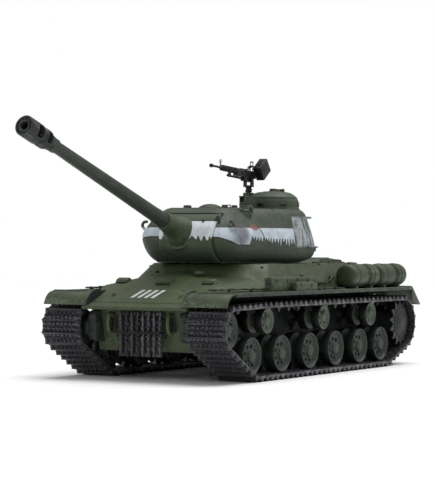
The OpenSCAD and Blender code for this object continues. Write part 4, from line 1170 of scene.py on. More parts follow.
ROUTE = [(74, 8, 93), (76.6, 24, 88.6), (77.4, 40, 86.2), (77.2, 56, 87), (74.6, 70, 91.4)]
for side, sign in SIDES:
    rope("tow_rope_" + side, ROUTE, 1.05, sign, M["rope"], ["tow_cables"] if sign > 0 else [])
    m = mirrored(sign)
    s = Solid()
    for p, q in ((ROUTE[0], ROUTE[1]), (ROUTE[-1], ROUTE[-2])):
        p, q = Vector(p), Vector(q)
        s.rod(p, p.lerp(q, 0.35), 1.55, 0, 14, m, 1.25)
        s.ball(m @ p, 1.75)
        s.block(tuple(p - Vector((3.4, 1.1, 1.5))), tuple(p + Vector((0.4, 1.1, 1.2))), 0, m, 0.2)
    for p in ROUTE[1:4]:
        s.block((p[0] - 2.6, p[1] - 0.9, p[2] - 1.5), (p[0] + 1.2, p[1] + 0.9, p[2] + 1.35), 0, m, 0.2)
    piece("rope_clamps_" + side, s, "hull", [M["tub"]], bevel=0.25)
    # the front rope: it lies along the shoulder of the casting, held by clips
    front = [(65.5, -145, 82.6), (66.2, -138, 82.7), (69.4, -126, 82.8), (73.4, -112, 82.9),
             (77.2, -98, 82.8),
             (79.4, -86, 82.5), (79, -60, 82.3), (79, -20, 82), (79, 2, 82)]
    rope("front_rope_" + side, front, 0.9, sign, M["plate"])
    s = Solid()
    s.rod(front[0], (65.2, -148.5, 82.8), 1.3, 0, 12, m)
    ring = [(65.2 + 2.3 * sin(t * pi / 8), -151 + 2.8 * cos(t * pi / 8), 82.8) for t in range(17)]
    s.tube(ring, 0.85, 0, 10, m)
    for p in front[2:8:2]:
        s.block((p[0] - 2.4, p[1] - 0.8, p[2] - 2.6), (p[0] + 1.3, p[1] + 0.8, p[2] + 1.2), 0, m, 0.2)
    piece("front_rope_fittings_" + side, s, "hull", [M["plate"]], bevel=0.2)

for side, sign in SIDES:
    m = mirrored(sign)
    s = Solid()
    for (x, y, z), d in (((31.5, -166.5, 49), 1), ((38, 211.5, 56), -1)):
        ring = Matrix.Translation((x, y, z)) @ Matrix.Rotation(pi / 2, 4, "Y")
        s.lathe([(1.5, -1.5), (3.6, -1.5), (4.0, -1.1), (4.0, 1.1), (3.6, 1.5), (1.5, 1.5)], 0, m @ ring, 32)
        if d > 0:
            oval = [m @ Vector((x, y + 1.2 + 4.6 * cos(t * pi / 12),
                                z + 3 + 8.6 * sin(t * pi / 12))) for t in range(25)]
            s.tube(oval, 1.7, 1, 12)
            s.block((x - 1.2, y - 1, z + 1), (x + 1.2, y + 5, z + 8), 0, m, 0.2)
        y0, y1 = sorted((y + d * 2.2, y + d * (9 if d > 0 else 6.6)))
        s.block((x - 1.5, y0, z - 3.7), (x + 1.5, y1, z + 3.7), 0, m, 0.2)
        s.block((x - 3, y + d * 5.0 - 0.6, z - 5), (x + 3, y + d * 5.0 + 0.6, z + 5), 0, m, 0.2)
    piece("tow_hooks_" + side, s, "hull", [M["tub"], M["nose"]], bevel=0.3,
          replaces=["tow_hooks"] if sign > 0 else [])

SPARE_Y, SPARE_PITCH = -164.4, 11.8
parts = []
for k in range(4):
    place = Matrix.Translation(((k - 1.5) * SPARE_PITCH, SPARE_Y, 42.6))
    place = place @ Matrix.Rotation(pi / 2, 4, "X") @ Matrix.Rotation(pi / 2, 4, "Z")
    parts.append((SHOES[1], place @ Matrix.Rotation(radians(RNG.uniform(-2, 2)), 4, "X")))
spares = as_object("spare_shoes", merged("spare_shoes", parts), [M["shoe"]])
settle(spares, "hull", ["spare_track_links"])
s = Solid()
for z in (39, 53):
    s.block((-26, SPARE_Y - 0.4, z), (26, SPARE_Y + 1.6, z + 3))
s.block((-23.4, SPARE_Y - 6.1, 42.6), (23.4, SPARE_Y - 5.2, 45.0), 0, None, 0.2)
for k in range(5):
    x = (k - 2) * SPARE_PITCH
    s.block((x - 0.8, SPARE_Y - 5.6, 43), (x + 0.8, SPARE_Y + 0.8, 44.6))
    s.bolt((x, SPARE_Y - 6, 43.8), (0, -1, 0), 1.0, 0.9)
piece("spare_shoe_racks", s, "hull", [M["soot"]], bevel=0.2)


# ---- Engine deck ----

FAN_X, FAN_Y = 27, 128
deck = Solid()
deck.side([(92, 104.7), (101, 109), (118, 109.6), (147, 108), (150, 104.7)], -46, 46)
body = as_object("engine_cover", to_mesh("engine_cover", deck))
wells = Solid()
for x in (-FAN_X, FAN_X):
    wells.lathe([(0, 106.4), (12.6, 106.4), (12.6, 115), (0, 115)], 0, Matrix.Translation((x, FAN_Y, 0)), 48)
cut(body, [wells])
soften(body, 0.7, 3, 30)
body.data.materials.append(M["hull"])
settle(body, "hull", ["engine_deck"])

s = Solid()
for x in (-FAN_X, FAN_X):
    at = Matrix.Translation((x, FAN_Y, 0))
    s.lathe([(12.4, 108.0), (13.8, 108.0), (13.8, 109.9), (13.2, 110.3), (12.4, 109.9)], 0, at, 48)
    for r in (3.4, 6.4, 9.4):
        s.lathe([(r, 108.2), (r + 0.8, 108.2), (r + 0.8, 109.3), (r, 109.3)], 0, at, 40)
    for k in range(16):
        s.block((3.6, -0.35, 107.4), (12.6, 0.35, 109.0), 0, at @ Matrix.Rotation(k * pi / 8, 4, "Z"))
    s.ball((x, FAN_Y, 108.6), 3.2, 0, 0.45)
    s.bolts(12, 14.9, 109.1, 0.6, 0.5, at)
s.lathe([(0, 109), (8.6, 109), (8.6, 110.3), (7.8, 111.1), (4, 111.7), (0, 111.8)], 0,
        Matrix.Translation((0, 112, 0)), 40)
s.bolts(8, 7.2, 110.8, 0.5, 0.6, Matrix.Translation((0, 112, 0)), 0.2)
for x in (-12, 12):
    s.rod((x, 92, 106), (x, 100, 108.6), 0.9)
    s.handle((x - 3, 141, 108.2), (x + 3, 141, 108.2), (0, 0, 2), 0.55)
for y in (104, 118, 132, 146):
    for x in (-43.6, 43.6):
        s.bolt((x, y, 108.9 if y < 140 else 108.0), (0, 0, 1), 0.6, 0.6)
piece("fan_grilles", s, "hull", [M["plate"]], bevel=0.12, segments=1)
s = Solid()
for x in (-FAN_X, FAN_X):
    s.lathe([(0, 106.3), (12.5, 106.3), (12.5, 106.8), (0, 106.8)], 0, Matrix.Translation((x, FAN_Y, 0)), 32)
piece("fan_shadows", s, "hull", [M["soot"]], bevel=0)

EXHAUSTS = [Matrix.Translation((x, 162, 98)) @ Matrix.Rotation(DECK_TILT, 4, "X") for x in (52, -52)]
EXHAUST_MOUTH = Matrix.Translation((0, 4.6, 3.6)) @ Matrix.Rotation(-pi / 2 - 0.25, 4, "X")
s = Solid()
for x in (-26, 26):
    at = Matrix.Translation((x, 178, 94.4)) @ Matrix.Rotation(DECK_TILT, 4, "X")
    s.lathe([(0, -1), (14, -1), (14, 1.6), (13.4, 2.2), (11.6, 2.2), (11.2, 1.8), (3, 2.2), (0, 2.3)], 0,
            at, 48)
    s.bolts(12, 12.6, 2, 0.6, 0.6, at)
    s.handle((x - 4, 178, 96), (x + 4, 178, 96), (0, 0.6, 2.2), 0.6)
    s.rod((x - 4, 164.4, 100.6), (x + 4, 164.4, 100.6), 1.1)
for at in EXHAUSTS:
    s.block((-4.2, -8.4, -0.5), (4.2, 6.4, 5.4), 0, at, 1.2)
    s.lathe([(2.7, 0), (3.5, 0), (3.5, 5.2), (2.7, 5.2)], 0, at @ EXHAUST_MOUTH, 24)
for x in (-44, 0, 44):
    s.rod((x - 4, 151.6, 104.8), (x + 4, 151.6, 104.8), 1.2)
piece("rear_covers", s, "hull", [M["hull"]], bevel=0.3)
s = Solid()
for at in EXHAUSTS:
    s.lathe([(0, 3.6), (2.75, 3.6), (2.75, 4.0), (0, 4.0)], 0, at @ EXHAUST_MOUTH, 20)
piece("exhaust_mouths", s, "hull", [M["soot"]], bevel=0)

# Roof fittings beside the turret ring: handrails, filler caps, a periscope cover on each side of the driver
s = Solid()
for sign in (1, -1):
    s.lathe([(0, 0), (4.4, 0), (4.4, 0.9), (3.9, 1.5), (0, 1.7)], 0,
            Matrix.Translation((sign * 50, 84, 104.9)), 28)
    s.bolts(6, 3.4, 106.1, 0.4, 0.5, Matrix.Translation((sign * 50, 84, 0)))
    s.handle((sign * 61, 92, 104), (sign * 61, 116, 104), (0, 0, 3.6), 0.7, 10)
    s.block((sign * 24 - 3.4, -106, 96), (sign * 24 + 3.4, -99, 98.4), 0, None, 0.6)
    s.block((sign * 60 - 2.6, -51, 92), (sign * 60 + 2.6, -43, 102.8), 0, None, 0.6)
piece("roof_fittings", s, "hull", [M["plate"]], bevel=0.3)

# Hinges, bolts and a towing bracket on the rear plate, and the tail lamp
s = Solid()
for x in (-40, -14, 14, 40):
    s.rod((x - 4, REAR_PLATE_Y + 0.3, 81.6), (x + 4, REAR_PLATE_Y + 0.3, 81.6), 1.3)
    s.block((x - 2.6, REAR_PLATE_Y - 0.4, 76), (x + 2.6, REAR_PLATE_Y + 0.9, 81.6), 0, None, 0.2)
for x in range(-48, 49, 8):
    for z in (70, 46.5):
        s.bolt((x, REAR_PLATE_Y, z), (0, 1, 0), 0.9, 0.8)
s.block((-8, REAR_PLATE_Y - 0.2, 50), (8, REAR_PLATE_Y + 2.4, 60), 0, None, 0.5)
s.tube([(6 * cos(t * pi / 8), 208.6, 55 - 5 * sin(t * pi / 8)) for t in range(9)], 1.1, 0, 10)
piece("rear_plate_fittings", s, "hull", [M["tub"]], bevel=0.3)
s = Solid()
s.lathe([(0, 0), (2.6, 0), (2.6, 2.2), (1.6, 3), (0, 3.2)], 0,
        Matrix.Translation((-66, 214, 80.4)) @ Matrix.Rotation(-0.4, 4, "X"), 20)
piece("tail_lamp", s, "hull", [M["red"]], bevel=0)

# ---- Tub sides: arm housings, stops, roller brackets, scrapers ----

for side, sign in SIDES:
    s = Solid()
    m = mirrored(sign)
    for i, y in enumerate(WHEEL_Y):
        at = m @ Matrix.Translation((51.8, y - ARM_BACK, AXLE_Z + ARM_UP)) @ Matrix.Rotation(pi / 2, 4, "Y")
        s.lathe([(5.4, 0), (7.4, 0), (7.0, 1.3), (5.4, 1.6)], 0, at, 28)
        s.bolts(6, 6.5, 1.1, 0.5, 0.5, at, 0.3)
        s.block((51.5, y - 30, 44), (57, y - 24, 49), 0, m, 0.8)
    for y in ROLLER_Y:
        at = m @ Matrix.Translation((51.8, y, ROLLER_Z)) @ Matrix.Rotation(pi / 2, 4, "Y")
        s.lathe([(5.1, 0), (8.4, 0), (7.6, 1.4), (5.8, 4.6), (5.1, 6)], 0, at, 28)
        s.block((51.5, y - 1.1, ROLLER_Z - 13), (55, y + 1.1, ROLLER_Z - 4), 0, m, 0.3)
    s.side([(-172, 42), (-166, 38), (-150, 38), (-142, 47), (-150, 56), (-166, 57), (-172, 52)], 51.6, 55.4,
           0, m)
    s.side([(-171, 40), (-168, 36), (-152, 34), (-154, 62.4), (-168, 62.4), (-171, 58)], 44.6, 52.4, 0, m)
    s.bolt(m @ Vector((48.4, -170.6, 44)), (0, -1, 0), 1.6, 1.2)
    s.bolt(m @ Vector((48.4, -170.6, 54)), (0, -1, 0), 1.6, 1.2)
    for k in range(8):
        t = k * pi / 4
        s.bolt(m @ Vector((53.6, SPROCKET[0] + 13 * cos(t), SPROCKET[1] + 13 * sin(t))), (sign, 0, 0), 1.0,
               1.0)
    piece("tub_fittings_" + side, s, "hull", [M["tub"]], bevel=0.35)

for side, sign in SIDES:
    for i, y in enumerate(WHEEL_Y):
        n = "%s_%d" % (side, i + 1)
        s = Solid()
        m = mirrored(sign)
        pivot = Matrix.Translation((0, y - ARM_BACK, AXLE_Z + ARM_UP))
        pivot = pivot @ Matrix.Rotation(-atan2(ARM_UP, ARM_BACK), 4, "X")
        reach = hypot(ARM_BACK, ARM_UP)
        flat = m @ pivot @ Matrix.Rotation(pi / 2, 4, "Y")
        s.lathe([(0, 45.2), (2.9, 45.2), (2.9, 54.2), (5.0, 54.2), (5.2, 54.6), (5.2, 59.4), (4.6, 60),
                 (2.6, 60), (0, 59.5)],
                0, flat, 28)
        web = [(-2.4, 1), (-2.9, 4), (-2.6, reach - 4), (-3.3, reach), (3.3, reach), (2.6, reach - 4),
               (2.9, 4), (2.4, 1)]
        s.side([(a, b) for b, a in web], 54.4, 59.2, 0, m @ pivot)
        s.side([(reach * 0.25, -0.8), (reach * 0.75, -0.8), (reach * 0.75, 0.8), (reach * 0.25, 0.8)], 53.9,
               59.8, 0,
               m @ pivot)
        end = m @ pivot @ Matrix.Translation((0, reach, 0)) @ Matrix.Rotation(pi / 2, 4, "Y")
        s.lathe([(0, 54), (4.2, 54), (4.6, 54.5), (4.6, 59.5), (4.1, 60), (3.5, 60.2), (3.5, 64), (2.5, 64),
                 (2.5, 85.6),
                 (0, 85.6)], 0, end, 24)
        piece("arm_" + n, s, "swing_arm_" + n, [M["tub"]], bevel=0.3,
              replaces=["swing_arm_" + n])

# ---- Turret ----

# At each height the turret's outline wraps three circles and the mirror images of the first two. Each
# circle is its centre's x and y and its radius; the rows' first value is the height.
SLICES = [
    (105.6, (22, -64, 18), (18, 26, 36), (0, 54, 30)), (110, (24, -68, 21), (24, 37, 38.5), (0, 57, 36.5)),
    (119, (26, -73, 23), (24.5, 39, 41.5), (0, 59, 39.5)), (132, (27, -74, 24), (24.5, 37, 40),
                                                            (0, 58, 38.5)),
    (144, (24, -70, 21), (24, 34, 38), (0, 57, 36)), (153, (22, -62, 18), (24, 32, 35.5), (0, 56, 33)),
    (157, (20, -58, 14.5), (22, 31, 34), (0, 54, 30))]
OUTLINE_POINTS = 144
HEIGHTS = np.array([q[0] for q in SLICES], float)
CIRCLES = np.array([[v for c in q[1:] for v in c] for q in SLICES], float)


def circles_at(z):
    """The three circles of the turret's outline at a height, on a smooth curve through the slices."""
    k = min(max(int(np.searchsorted(HEIGHTS, z)) - 1, 0), len(HEIGHTS) - 2)
    t = (z - HEIGHTS[k]) / (HEIGHTS[k + 1] - HEIGHTS[k])
    p = CIRCLES[[max(k - 1, 0), k, k + 1, min(k + 2, len(HEIGHTS) - 1)]]
    span = HEIGHTS[k + 1] - HEIGHTS[k]
    before = HEIGHTS[k + 1] - HEIGHTS[max(k - 1, 0)]
    after = HEIGHTS[min(k + 2, len(HEIGHTS) - 1)] - HEIGHTS[k]
    m0, m1 = (p[2] - p[0]) / before * span, (p[3] - p[1]) / after * span
    h = (2 * t ** 3 - 3 * t ** 2 + 1) * p[1] + (t ** 3 - 2 * t ** 2 + t) * m0
    return h + (3 * t ** 2 - 2 * t ** 3) * p[2] + (t ** 3 - t ** 2) * m1


def outline_at(z, inset=0.0):
    """Points round the turret at a height; each is where the outward direction is reached."""
    c = circles_at(z)
    balls = [(sx * c[0], c[1], c[2]) for sx in (1, -1)] + [(sx * c[3], c[4], c[5]) for sx in (1, -1)]
    balls.append((0, c[7], c[8]))
    out = []
    for i in range(OUTLINE_POINTS):
        t = 2 * pi * (i + 0.5) / OUTLINE_POINTS
        nx, ny = cos(t), sin(t)
        x, y, r = max(balls, key=lambda b: b[0] * nx + b[1] * ny + b[2])
        out.append((x + (r - inset) * nx, y + (r - inset) * ny, z))
    return out


def loft(inset, low, high, rows):
    """The turret's closed shape, drawn in by inset, in rows of rings from low to high."""
    s = Solid()
    verts, n = [], OUTLINE_POINTS
    for k in range(rows + 1):
        verts += outline_at(low + (high - low) * k / rows, inset)
    faces = [tuple(range(n - 1, -1, -1)), tuple(rows * n + i for i in range(n))]
    for k in range(rows):
        for i in range(n):
            j = (i + 1) % n
            faces.append((k * n + i, k * n + j, (k + 1) * n + j, (k + 1) * n + i))
    return s.add(verts, faces)


AXIS_X = Matrix.Translation((0, TRUNNION[0], TRUNNION[1])) @ Matrix.Rotation(pi / 2, 4, "Y")
X0, X1 = MANTLET_X
inside = as_object("turret_inside", to_mesh("turret_inside", loft(3, TURRET_Z + 3, TURRET_TOP - 3.1, 24)))
cut(inside, [Solid().block((a, -100, 100), (a + 5, -68, 160)) for a in (X0 - 5.5, X1 + 0.5)])
shell = as_object("turret_casting", to_mesh("turret_casting", loft(0, TURRET_Z, TURRET_TOP, 30)))
inner_mesh = inside.data
bpy.data.objects.remove(inside)
pocket = Solid().lathe([(0, X0 - 0.5), (23.1, X0 - 0.5), (23.1, X1 + 0.5), (0, X1 + 0.5)], 0, AXIS_X, 96)
bore = Solid().lathe([(0, X0 - 4.4), (3.1, X0 - 4.4), (3.1, X1 + 4.4), (0, X1 + 4.4)], 0, AXIS_X, 32)
ring = Solid().lathe([(0, 104), (44, 104), (44, 111), (0, 111)], 0, None, 96)
round_hole = Solid().lathe([(0, 150), (20, 150), (20, 162), (0, 162)], 0, Matrix.Translation(CUPOLA + (0,)),
                           64)
square_hole = Solid().block((LOADER[0] - 10, LOADER[1] - 10, 150), (LOADER[0] + 10, LOADER[1] + 10, 162))
cut(shell, [inner_mesh, pocket, bore, ring, round_hole, square_hole])
cast(shell, 0.8, 3, 0.3)
shell.data.materials.append(M["turret"])
settle(shell, "turret", ["turret_shell"])


def round_turret(z, outset):
    """Points all the way round the turret's outline, back to the first."""
    points = outline_at(z, -outset)
    return points + points[:1]


s = Solid()
s.weld(round_turret(157.1, -2.2), 0.5)
s.weld(round_turret(106.4, 0.1), 0.5)
for x in (X0 - 7, X1 + 7):
    s.weld([(x, y, 157.1) for y in range(-64, -40, 4)], 0.45)
s.weld([(-48, -6, 157.1), (0, -10, 157.1), (50, -6, 157.1)], 0.45)
piece("turret_welds", s, "turret", [M["turret"]], bevel=0)

# Roof: ventilator dome, periscopes and bolts
s = Solid()
s.lathe([(0, 0), (12.4, 0), (12.4, 0.8), (11.4, 1.6), (9.6, 3.0), (6, 4.5), (2.4, 5.1), (0, 5.2)], 0,
        Matrix.Translation((-10, -24, 156.9)), 40)
s.bolts(6, 11.6, 157.9, 0.6, 0.6, Matrix.Translation((-10, -24, 0)))
s.lathe([(0, 0), (4.6, 0), (4.6, 0.7), (4, 1), (3.9, 2.6), (3.2, 3.4), (0, 3.6)], 0,
        Matrix.Translation((-20, -50, 156.9)),
        28)
s.lathe([(0, 0), (3.6, 0), (3.6, 0.9), (2.9, 1.2), (2.9, 2.8), (2.2, 3.4), (0, 3.5)], 0,
        Matrix.Translation((28, -44, 156.9)), 24)
s.bolts(8, 4.8, 157.1, 0.45, 0.5, Matrix.Translation((28, -44, 0)))
piece("turret_roof_fittings", s, "turret", [M["turret"]], bevel=0.25)

s = Solid()
s.block((12.2, -8.8, 156.8), (20.3, 0.3, 158.0), 0, None, 0.3)
s.block((13, -8, 157.6), (14.1, -0.5, 170), 0, None, 0.15)
s.block((18.4, -8, 157.6), (19.5, -0.5, 170), 0, None, 0.15)
s.block((13, -4.6, 157.6), (19.5, -0.5, 169.2), 0, None, 0.3)
s.block((13, -8, 157.6), (19.5, -4.2, 164.2), 0, None, 0.2)
s.block((12.6, -8.4, 168.8), (19.9, -0.1, 170), 0, None, 0.3)
for x in (13.2, 19.3):
    s.bolt((x, -7, 158), (0, 0, 1), 0.6, 0.6)
    s.bolt((x, -1, 158), (0, 0, 1), 0.6, 0.6)
s.tube(smooth_path([(21, -4, 157), (22.6, -5, 160), (22.6, -3, 165), (20, -4, 168)]), 0.5, 0, 8)
# a capped ventilator stub and a bracket on the shoulder ahead of the cupola
low = turned_to(Vector((0.8, -0.55, 0.22)).normalized(), Vector((39.5, -47.5, 149)))
s.lathe([(0, -3), (6.4, -3), (6.4, 3.4), (5.8, 4.2), (5.8, 6.6), (4.8, 7.4), (4.4, 6.6), (3.0, 6.6),
         (2.6, 7.8), (0, 8)],
        0, low, 36)
s.bolts(6, 5.2, 6.6, 0.6, 0.8, low)
s.block((34, -46, 150), (43.4, -35, 160.4), 0, None, 0.8)
s.block((36, -57, 146), (43, -49, 153.4), 0, None, 0.8)
s.rod((44.4, -40, 146), (44.4, -40, 158.6), 1.5, 0, 14)
s.rod((36, -60, 155.4), (44, -44, 155.4), 1.2, 0, 12)
piece("sight_housing", s, "turret", [M["turret"]], bevel=0.25)
s = Solid()
s.block((14, -5.2, 164.4), (18.5, -4.4, 168.6), 0)
piece("sight_glass", s, "turret", [M["glass"]], bevel=0.1)

# Lugs of the loader's hatch
s = Solid()
for y in (-7, 5):
    lug = Matrix.Translation((LOADER[0] - 14.5, LOADER[1] + y, 158.9)) @ Matrix.Rotation(-pi / 2, 4, "X")
    s.lathe([(1.05, 0), (1.85, 0), (1.85, 2), (1.05, 2)], 0, lug, 20)
    s.block((LOADER[0] - 16.2, LOADER[1] + y + 0.05, 156.5), (LOADER[0] - 12.8, LOADER[1] + y + 1.95, 157.9))
    s.bolt((LOADER[0] - 17.6, LOADER[1] + y + 1, 157), (0, 0, 1), 0.6, 0.5)
piece("loader_lugs", s, "turret", [M["turret"]], bevel=0.15)


def side_point(z, share, out=0.0):
    """A point on the turret's side and the outward direction there."""
    index = int(share * OUTLINE_POINTS) % OUTLINE_POINTS
    p = outline_at(z, -out)[index]
    q = outline_at(z, -out - 1)[index]
    return Vector(p), (Vector(q) - Vector(p)).normalized()


s = Solid()
for sign in (1, -1):
    m = mirrored(sign)
    # grab rails along the rear quarter
    for z, out, first, last in ((149.6, 3.8, -3, 15), (121, 2.2, -3, 21)):
        path = [side_point(z, k / OUTLINE_POINTS, out)[0] for k in range(first, last, 3)]
        start, end = [side_point(z, k / OUTLINE_POINTS, -0.6)[0] for k in (first, last - 1)]
        s.tube(smooth_path([start] + path + [end], 4), 0.95, 0, 10, m)
        for k in range(first + 5, last - 2, 6):
            p, n = side_point(z, k / OUTLINE_POINTS, out)
            s.rod(p, p - n * (out + 1), 0.7, 0, 8, m)
    # lifting hooks and pistol port
    for share, z, k in ((-0.0833, 141, 1.25), (-0.165, 147, 1)):
        p, n = side_point(z, share)
        up = Vector((0, 0, 1))
        s.tube(smooth_path([p - n * 1.2 - up * 3 * k, p + n * 2.4 * k - up * 3.2 * k,
                            p + n * 4.4 * k - up * 0.6 * k,
                            p + n * 3.2 * k + up * 2.2 * k, p + n * 0.4 + up * 2.6 * k]), 1.15 * k, 0, 12, m)
    p, n = side_point(119, 0.09)
    s.lathe([(0, -1), (2.4, -1), (2.4, 0.8), (1.8, 1.2), (0, 1.3)], 0, m @ turned_to(n, p), 20)
piece("turret_rails", s, "turret", [M["turret"]], bevel=0.15)

# Ball mount in the turret's rear
s = Solid()
p, n = side_point(133, 0.25)
at = turned_to(n, p)
s.lathe([(0, -2), (8.4, -2), (8.4, 0.6), (7.2, 1.6), (6.4, 1.2), (5.8, 2.4), (4, 4.2), (1.6, 5), (0, 5.1)],
        0, at, 36)
s.bolts(8, 7.4, 1, 0.6, 0.7, at)
s.rod(at @ Vector((0, 0, 4)), at @ Vector((0, -0.4, 6)), 0.9, 0, 12)
piece("rear_ball_mount", s, "turret", [M["turret"]], bevel=0.15)

# ---- Mantlet and gun ----

DRUM = IN_GUN @ Matrix.Rotation(pi / 2, 4, "Y")
r = MANTLET_R
drum = as_object("mantlet_casting", to_mesh("mantlet_casting", Solid().lathe(
    [(0, X0), (r - 1, X0), (r, X0 + 1), (r, X1 - 1), (r - 1, X1), (0, X1)], 0, DRUM, 96)))
cut(drum, [Solid().lathe([(0, X0 + 3), (r - 4, X0 + 3), (r - 4, X1 - 3), (0, X1 - 3)], 0, DRUM, 64),
           Solid().block((-40, 8, -30), (50, 30, 30), 0, IN_GUN)])
collar = [(0, r - 5), (14.4, r - 5), (13.9, r), (13.0, r + 2.2), (11.8, r + 4.4), (10.8, r + 7),
          (10, r + 10.4),
          (9.3, r + 15), (8.7, r + 20), (8.1, r + 25.6), (7.6, r + 27), (0, r + 27)]
cut(drum, [Solid().lathe(collar, 0, ALONG_BORE, 64),
           Solid().lathe([(0, X0 - 4), (3, X0 - 4), (3, X1 + 4), (0, X1 + 4)], 0, DRUM, 32)], "UNION")
cut(drum, [Solid().lathe([(0, -1), (7, -1), (7, 60), (0, 60)], 0, ALONG_BORE, 48),
           Solid().lathe([(0, 14), (1.3, 14), (1.3, 30), (0, 30)], 0,
                         ALONG_BORE @ Matrix.Translation((25, 9, 0)), 24)])
cast(drum, 0.6, 3, 0.35)
drum.data.materials.append(M["mantlet"])
settle(drum, "gun_cradle", ["mantlet"])

s = Solid()
# a flange under the collar's foot, held by four bolts
foot = [(q * cos(t), q * sin(t)) for q, turns in ((17.4, range(0, 11)), (13.4, range(10, -1, -1)))
        for t in [radians(205 + 13 * k) for k in turns]]
s.plate(foot, 5.4, 0, ALONG_BORE @ Matrix.Translation((0, 0, 13.6)))
for t in (215, 245, 295, 325):
    t = radians(t)
    s.bolt(ALONG_BORE @ Vector((15.6 * cos(t), 15.6 * sin(t), 18.9)),
           ALONG_BORE.to_3x3() @ Vector((0, 0, 1)), 0.9, 0.8)
s.lathe([(7.1, r + 26.6), (8.1, r + 25.4), (8.2, r + 26.4), (7.9, r + 27.4), (7.1, r + 27.6)], 0,
        ALONG_BORE, 48)
for x in (X0 + 1.6, X1 - 1.6):
    arc = [DRUM @ Vector(((r + 0.1) * cos(t), (r + 0.1) * sin(t), x)) for t in
           [radians(a) for a in range(110, 251, 4)]]
    s.tube(arc, 0.45, 0, 8)
s.lathe([(1.4, 20.6), (2.3, 20.3), (2.3, 22.1), (1.4, 22.4)], 0,
        ALONG_BORE @ Matrix.Translation((25, 9, -0.9)), 24)
piece("mantlet_fittings", s, "gun_cradle", [M["mantlet"]], bevel=0.12)

REACH = GUN_REACH - BRAKE_L
s = Solid()
s.lathe([(3.8, -10), (6.9, -10), (6.9, 63), (6.75, 64.5), (6.62, 70), (5.2, REACH - 8), (5.35, REACH - 7.4),
         (6.2, REACH - 6.8), (6.3, REACH - 6.2), (6.3, REACH - 0.6),
         (6.0, REACH), (3.8, REACH)], 0, ALONG_BORE, 64)
s.block((-8, 10, -6.8), (8, 26, 7.4), 0, IN_GUN)
piece("gun_tube", s, "gun", [M["gun"]], bevel=0.25, replaces=["gun_barrel"])

e = GUN_REACH
s = Solid()
s.lathe([(3.8, e - 40), (6.5, e - 40), (6.7, e - 39.4), (6.8, e - 36), (7.2, e - 34.4), (8.4, e - 32.4),
         (8.6, e - 31.6),
         (8.6, e - 25.4), (8.2, e - 24.6), (7.4, e - 23.8), (7.3, e - 23), (8.2, e - 21), (9, e - 19.2),
         (9, e - 0.9),
         (8.4, e), (7.3, e), (7.0, e - 1.4), (5.9, e - 1.4), (5.6, e - 0.3), (4.6, e - 0.2),
         (3.8, e - 1)], 0, ALONG_BORE, 64)
brake = as_object("muzzle_brake_body", to_mesh("muzzle_brake_body", s))
# round-ended ports through both sides
ports = []
for start, length, half in ((e - 18, 8, 5.4), (e - 31.6, 6, 4.6)):
    slot = Solid()
    shape = []
    for k in range(20):
        t = 2 * pi * k / 20
        rr = length / 2 * 0.62
        shape.append((rr * cos(t) + (length / 2 - rr) * (1 if cos(t) > 0 else -1),
                      rr * sin(t) + (half - rr) * (1 if sin(t) > 0 else -1)))
    across = ALONG_BORE @ Matrix(((0, 0, 1, -14), (0, 1, 0, 0), (-1, 0, 0, start + length / 2), (0, 0, 0, 1)))
    slot.plate(shape, 28, 0, across)
    ports.append(slot)
cut(brake, ports)
soften(brake, 0.3, 2, 35)
brake.data.materials.append(M["brake"])
settle(brake, "gun", ["muzzle_brake"])
# A dark sleeve inside the muzzle: painted shade in the bore.
s = Solid()
s.lathe([(3.2, e - 41), (3.9, e - 41), (3.9, e - 1.2), (3.2, e - 1.2)], 0, ALONG_BORE, 40)
piece("bore_shade_sleeve", s, "gun", [M["soot"]], bevel=0)


# ---- Cupola and hatches ----

AT_CUPOLA = Matrix.Translation((CUPOLA[0], CUPOLA[1], 0))
HINGE = (CUPOLA[0], CUPOLA[1] + 13.4, 176.4)
R = 25.5
ring = Solid().lathe(
    [(20, 157), (R + 0.7, 157), (R + 0.7, 158.2), (R, 158.9), (R, 163.8), (25.2, 165.2), (24.4, 167.2),
     (23.2, 169.2),
     (21.4, 171), (19, 172.6), (16.6, 173.7), (14.6, 174.3), (12.4, 174.6), (11.2, 174.6),
     (10.9, 174.3), (10.9, 171.8),
     (9.4, 171.8), (9.4, 170.4), (20, 165)], 0, AT_CUPOLA, 96)
cup = as_object("cupola_casting", to_mesh("cupola_casting", ring))
seat = Matrix.Translation((MG[0], MG[1], 0))
cut(cup, [Solid().lathe([(0, 167), (5.6, 167), (5.4, 173.4), (4.9, 174), (0, 174)], 0, seat, 40)], "UNION")
cut(cup, [Solid().lathe([(0, 168), (2.1, 168), (2.1, 178), (0, 178)], 0, seat, 32),
          Solid().lathe([(0, 150), (19.9, 150), (19.9, 165), (9.4, 170.3), (9.4, 172), (0, 172)], 0,
                        AT_CUPOLA, 64)])
SLITS = [AT_CUPOLA @ Matrix.Rotation(2 * pi * (k + 0.25) / 7, 4, "Z") for k in range(7)]
slits = Solid()
for place in SLITS:
    slits.block((R - 1.6, -3.4, 160.2), (R + 3, 3.4, 162.6), 0, place)
cut(cup, [slits])
soften(cup, 0.28, 2, 30)
cup.data.materials.append(M["turret"])
settle(cup, "turret", ["cupola"])

